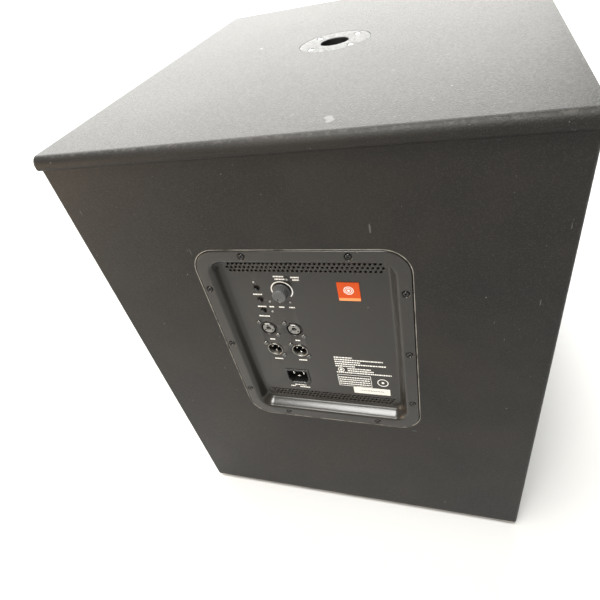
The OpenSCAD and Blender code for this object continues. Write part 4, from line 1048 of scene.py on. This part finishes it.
def panel_print():
    """White marks: the knob's scale ring, bars under the controls and a block of plain lines."""
    shape = Shape(on_rear())
    (kx, kz), = panel_places("volume_knob")
    arc = [math.radians(-45 + 270 * i / 60) for i in range(61)]
    for a, b in zip(arc, arc[1:]):
        step = [(kx + r * math.cos(t), kz + r * math.sin(t))
                for r, t in ((11.9, a), (13.3, a), (13.3, b), (11.9, b))]
        shape.loft([(step, z) for z in (PRINT_LOW, PRINT_TOP)], True, True)
    bars = [(-35.6, -23.1, 98.7), (-34.6, -22.6, 94.9), (-15.1, -5.2, 97.8), (-13.4, -5.8, 94.2),
            (-66.8, -55.6, 71.6), (-65.8, -55.1, 52.6), (-51.0, -45.3, 52.6), (-38.8, -31.6, 52.6),
            (-26.2, -19.1, 52.6), (-68.1, -53.6, 37.0), (-64.1, -57.3, -3.3), (-30.0, -23.9, -3.2),
            (-66.1, -54.9, -39.9), (-32.5, -21.8, -39.5), (-55.5, -49.1, -95.2), (-49.1, -33.0, -92.0),
            (-42.5, -28.1, -96.0)]
    for number, (x0, x1, z) in enumerate(bars):
        stroke(shape, x0, x1, z, 1.9, 0.35, number)
    lines = [(15, 38), (15, 76), (15, 48), (15, 79), (15, 40), (30, 60), (30, 63), (15, 85)]
    for number, (x0, x1) in enumerate(lines):
        stroke(shape, x0, x1, -29.5 - 4.05 * number, 2.0, 0.6, 40 + number)
    for number in range(4):
        stroke(shape, 16.5, 56.5, -67.6 - 4.3 * number, 1.9, 0.6, 60 + number)
    frame_lines = [(15, 58.4, -62.9, -62.3), (15, 58.4, -84.6, -84.0), (15, 15.6, -84.6, -62.3),
                   (57.8, 58.4, -84.6, -62.3)]
    for x0, x1, z0, z1 in frame_lines:
        shape.block(x0, x1, z0, z1, PRINT_LOW, PRINT_TOP)
    for x, z, outer, inner, count in ((21.5, -52.5, 4.2, 3.3, 48), (73, -73, 7, 6, 48),
                                      (73, -73, 1.8, 0.1, 32), (21.5, -52.5, 1.8, 0.1, 32)):
        flat_ring(shape, inner, outer, PRINT_LOW, PRINT_TOP, count, x, z)
    shape.build("panel_print", "white_ink", slot="panel_paint")


def sticker():
    """White paper sticker with one faint line."""
    label = Shape(on_rear(57.2, -91.8))
    label.loft([(rounded(47.6, 12.3, 0.8), z) for z in (FLOOR - 0.02, FLOOR + 0.12)], True, True)
    label.build("panel_sticker", "label_paper", slot="panel_paint")
    line = Shape(on_rear(57.2, -91.8))
    stroke(line, -15, 16, 0.4, 1.6, 0.6, 91, FLOOR + 0.18)
    line.build("sticker_line", "grey_ink", slot="panel_paint")


# ---- Front ----

def grille():
    """Perforated steel sheet: staggered round holes inside a plain rim."""
    low, high = box_mm("grille")
    pitch, hole, rim, count = 8.6, 3.15, 15, 12
    row = pitch * math.sqrt(3) / 2
    width, height = high.x - low.x, high.z - low.z
    middle = (low.z + high.z) / 2
    columns, rows = int((width - 2 * rim) / pitch), int((height - 2 * rim) / row)
    first = math.radians(30)

    def place(x, y, z):
        return Vector((x, low.y - z, middle + y)) * MM

    for part, chosen in (("lower", range(rows // 2)), ("upper", range(rows // 2, rows))):
        field = Shape(place)
        for j in chosen:
            shift = 0.25 if j % 2 else -0.25
            for i in range(columns):
                x = (i - (columns - 1) / 2 + shift) * pitch
                y = (j - (rows - 1) / 2) * row
                cell = []
                for k in range(count):
                    a = math.tau * k / count + first
                    reach = pitch / math.sqrt(3) if k % 2 == 0 else pitch / 2
                    cell.append((x + reach * math.cos(a), y + reach * math.sin(a)))
                field.bridge(field.ring(cell, 0), field.ring(circle(hole, count, x, y, first), 0))
        field.build("grille_field_" + part, "grille_steel", outward=(0, -1, 0), thickness=1.1,
                    replaces=["grille"] if part == "lower" else [], smooth=30)

    def frame_at(inset):
        return rounded(width - 2 * inset, height - 2 * inset, 3, 4)

    border = Shape(place)
    inner_x, inner_y = columns * pitch / 2 - pitch * 0.1, rows * row / 2 - row * 0.1
    window = [(-inner_x, -inner_y), (inner_x, -inner_y), (inner_x, inner_y), (-inner_x, inner_y)]
    screw_holes = [circle(2.2, 20, (a.x + b.x) / 2, (a.z + b.z) / 2 - middle)
                   for a, b in solids("grille_screws")]
    border.sheet(frame_at(0.5), [window, *screw_holes], 0.02)
    border.loft([(frame_at(0.5), 0.02), (frame_at(0.1), -0.25), (frame_at(0), -0.8), (frame_at(0), -1.4)])
    border.build("grille_border", "grille_steel", outward=(0, -1, 0), thickness=1.0)


def ports():
    """Flared port tubes with a rolled lip."""
    for side in ("left", "right"):
        node = side + "_port_tube"
        low, high = box_mm(node)
        x, z, outer = (low.x + high.x) / 2, (low.z + high.z) / 2, (high.x - low.x) / 2
        bore, flare, front, length = outer - 21, 12, 3, high.y - BAFFLE_Y
        turns = [math.radians(6 * i) for i in range(16)]
        curve = [(bore + flare * (1 - math.sin(t)), front - flare * (1 - math.cos(t))) for t in turns]
        shape = Shape(lambda a, b, c: Vector((a, BAFFLE_Y - c, z + b)) * MM)
        shape.lathe([*curve, (bore, -length + 8), (bore + 0.6, -length + 1), (bore + 1.5, -length),
                     (bore + 3, -length), (bore + 3, -26), (bore + 10.75, -14), (bore + 10.75, 0), (outer, 0),
                     (outer, front - 1), (outer - 0.5, front - 0.2), (outer - 1.2, front)], 96, x, close=True)
        shape.build(f"{side}_port_flared", "port_plastic", replaces=[node])


# ---- Woofer ----


def soft_ring(name, node, finish, profile):
    """A turned soft part of the woofer, between the basket and the cone."""
    shape = Shape(on_woofer)
    shape.lathe(profile, 96, close=True)
    bm = shape.filled()
    bmesh.ops.recalc_face_normals(bm, faces=bm.faces)
    piece = to_object(bm, name)
    piece.data.materials.append(FINISHES[finish])
    piece.data.shade_smooth()
    piece.data.set_sharp_from_angle(angle=math.radians(45))
    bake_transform(piece)
    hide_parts(node)


def surround():
    """Half-roll edge with flat lips."""
    low, high = box_mm("woofer_surround")
    outer = (high.x - low.x) / 2
    roll, size, base, cloth_wall = outer - 32.5, 10, 4.0, 1.2
    lip = base + cloth_wall

    def arc(radius, start, end):
        turns = [math.radians(start + (end - start) * i / 24) for i in range(25)]
        return [(roll + radius * math.cos(a), lip + radius * math.sin(a)) for a in turns]

    under = size - cloth_wall
    profile = [(outer, base), (outer, lip), *arc(size, 8, 172), (roll - 17, lip), (roll - 17, base),
               (roll - under, base), *arc(under, 172, 8), (roll + under, base)]
    soft_ring("surround_roll", "woofer_surround", "surround_cloth", profile)


def spider():
    """Corrugated suspension ring."""
    low, high = box_mm("woofer_spider")
    outer = (high.x - low.x) / 2
    inner, centre, foot = 38.4, -84.5, -86
    waves, wave_width, wave_height, half_cloth, steps = 5, 37.6, 2, 0.4, 96
    upper, lower = [], []
    for i in range(steps + 1):
        r = inner + (outer - inner) * i / steps
        t = (r - inner - 4) / wave_width
        z = centre + (wave_height * math.sin(math.tau * waves * t) if 0 < t < 1 else 0)
        upper.append((r, z + half_cloth))
        lower.append((r, z - half_cloth))
    profile = [*upper, (outer, foot), (outer - 11.5, foot), *lower[::-1][12:]]
    soft_ring("spider_ring", "woofer_spider", "spider_cloth", profile)


def woofer():
    surround()
    spider()
    softened("woofer_basket", "basket_metal", 0.8)
    softened("woofer_gasket", "gasket_foam", 0.6)
    for node, finish in (("woofer_cone", "cone_paper"), ("woofer_dust_cap", "dust_cap"),
                         ("coil_former", "former_film"), ("voice_coil", "coil_copper")):
        softened(node, finish, 0, body="cone_assembly")
    softened("magnet_front_plate", "magnet_steel", 0.6)
    softened("magnet_ring", "ferrite", 1.5)
    softened("magnet_pole_yoke", "magnet_steel", 1.0)
    softened("woofer_terminals", "terminal_board", 0.2)


# ---- Inside the amplifier ----

def board_parts():
    """Small chips, resistors and connectors scattered on both boards."""
    draw = random.Random(7)
    chips, metalwork = Shape(on_rear()), Shape(on_rear())
    margin, parts_on_a_board = 4, 46
    for node, side in (("input_board", -1), ("power_board", 1)):
        low, high = box_mm(node)
        face = rear_span(node)[side > 0]
        x0, x1 = -high.x + margin, -low.x - margin
        z0, z1 = low.z - PLATE_Z + margin, high.z - PLATE_Z - margin
        for _ in range(parts_on_a_board):
            x, z = draw.uniform(x0, x1), draw.uniform(z0, z1)
            wide, tall = draw.choice(((2, 1.2), (3.2, 1.6), (5, 6.2), (1.6, 1), (4, 4)))
            under_heavy_parts = side > 0 and 10 < x < 88 and -104 < z < 108
            if under_heavy_parts:
                continue
            rise = 0.6 if wide < 3 else 1.5
            bottom, top = sorted((face - 0.05 * side, face + side * rise))
            target = metalwork if wide < 2 else chips
            target.block(x - wide / 2, x + wide / 2, z - tall / 2, z + tall / 2, bottom, top)
    chips.build("board_chips", "control_body", bevel=0.1)
    metalwork.build("board_contacts", "contact_metal", bevel=0.05)


def electronics():
    for node, finish, width in (
            ("amp_housing", "chassis_metal", 0.4), ("input_board", "circuit_board", 0.2),
            ("power_board", "circuit_board", 0.2), ("heatsink", "heatsink_metal", 0.3),
            ("transformer", "transformer_core", 1.2), ("capacitors", "capacitor_sleeve", 0.8),
            ("button_switches", "control_body", 0.4), ("volume_control", "control_body", 0.4),
            ("amp_gasket", "gasket_foam", 0.3)):
        softened(node, finish, width)
    softened("knob_shaft", "shaft_metal", 0.3, body="knob_assembly")
    board_parts()


# ---- Floor, light and camera ----

def stage():
    """A plain floor, lit enough to show white, and faint even light from all round."""
    bpy.ops.mesh.primitive_plane_add(size=60)
    floor = bpy.context.object
    floor.name = "studio_floor"
    made = Finish("studio_floor", (0.40, 0.40, 0.398), 0.7).mottle(2, (0.395, 0.395, 0.393))
    floor.data.materials.append(made.material)
    world = bpy.data.worlds.new("studio")
    world.use_nodes = True
    background = world.node_tree.nodes["Background"].inputs
    background["Color"].default_value = (1.0, 0.99, 0.97, 1)
    background["Strength"].default_value = 0.18
    bpy.context.scene.world = world
    bpy.context.scene.view_settings.view_transform = "Standard"


def light(name, kind, aim, power, colour, **settings):
    """A lamp that shines along aim."""
    data = bpy.data.lights.new(name, kind)
    data.energy, data.color = power, colour
    for key, value in settings.items():
        setattr(data, key, value)
    lamp = bpy.data.objects.new(name, data)
    lamp.rotation_mode = "QUATERNION"
    lamp.rotation_quaternion = aim.to_track_quat("-Z", "Y")
    bpy.context.scene.collection.objects.link(lamp)
    return lamp


def softbox(name, place, target, size, power, colour):
    lamp = light(name, "AREA", Vector(target) - Vector(place), power, colour, shape="RECTANGLE",
                 size=size[0], size_y=size[1])
    lamp.location = place
    lamp.visible_camera = False


def sunlight(name, come_from, power, degrees):
    """Even light over the whole floor, from a disc this many degrees wide."""
    light(name, "SUN", -Vector(come_from), power, (1, 0.99, 0.96), angle=math.radians(degrees))


def lights():
    sunlight("ceiling", (0.07, 0.17, 0.97), 6.5, 30)
    sunlight("far_side", (0.45, -1.0, 0.38), 8.0, 75)
    softbox("rear_high", (0.5, 2.0, 2.0), (0, 0.3, 0.4), (0.8, 0.4), 26, (1, 0.98, 0.92))
    softbox("left_fill", (1.25, 1.0, 0.45), (0.1, 0.3, 0.4), (0.7, 0.7), 7.5, (1, 0.72, 0.45))


def camera():
    """Behind and above the cabinet, rolled a little, looking down at the amplifier panel."""
    right = Vector((-0.94633, -0.26002, -0.19197))
    up = Vector((0.03076, -0.66371, 0.74735))
    back = Vector((-0.32174, 0.70134, 0.63609))
    data = bpy.data.cameras.new("camera")
    data.lens, data.sensor_width = 28.13, 36
    made = bpy.data.objects.new("camera", data)
    turn = Matrix((right, up, back)).transposed().to_4x4()
    made.matrix_world = Matrix.Translation((-0.1616, 0.6534, 0.7778)) @ turn
    data.clip_start = 0.01
    bpy.context.scene.collection.objects.link(made)
    bpy.context.scene.camera = made


for make_part in (camera, stage, lights, cabinet, feet, padding, amp_plate, handle_cups, handle_grips,
                  pole_socket, all_screws, volume_knob, push_buttons, status_lights, combo_sockets,
                  output_sockets, mains_inlet, badge, panel_print, sticker, grille, ports, woofer,
                  electronics):
    make_part()
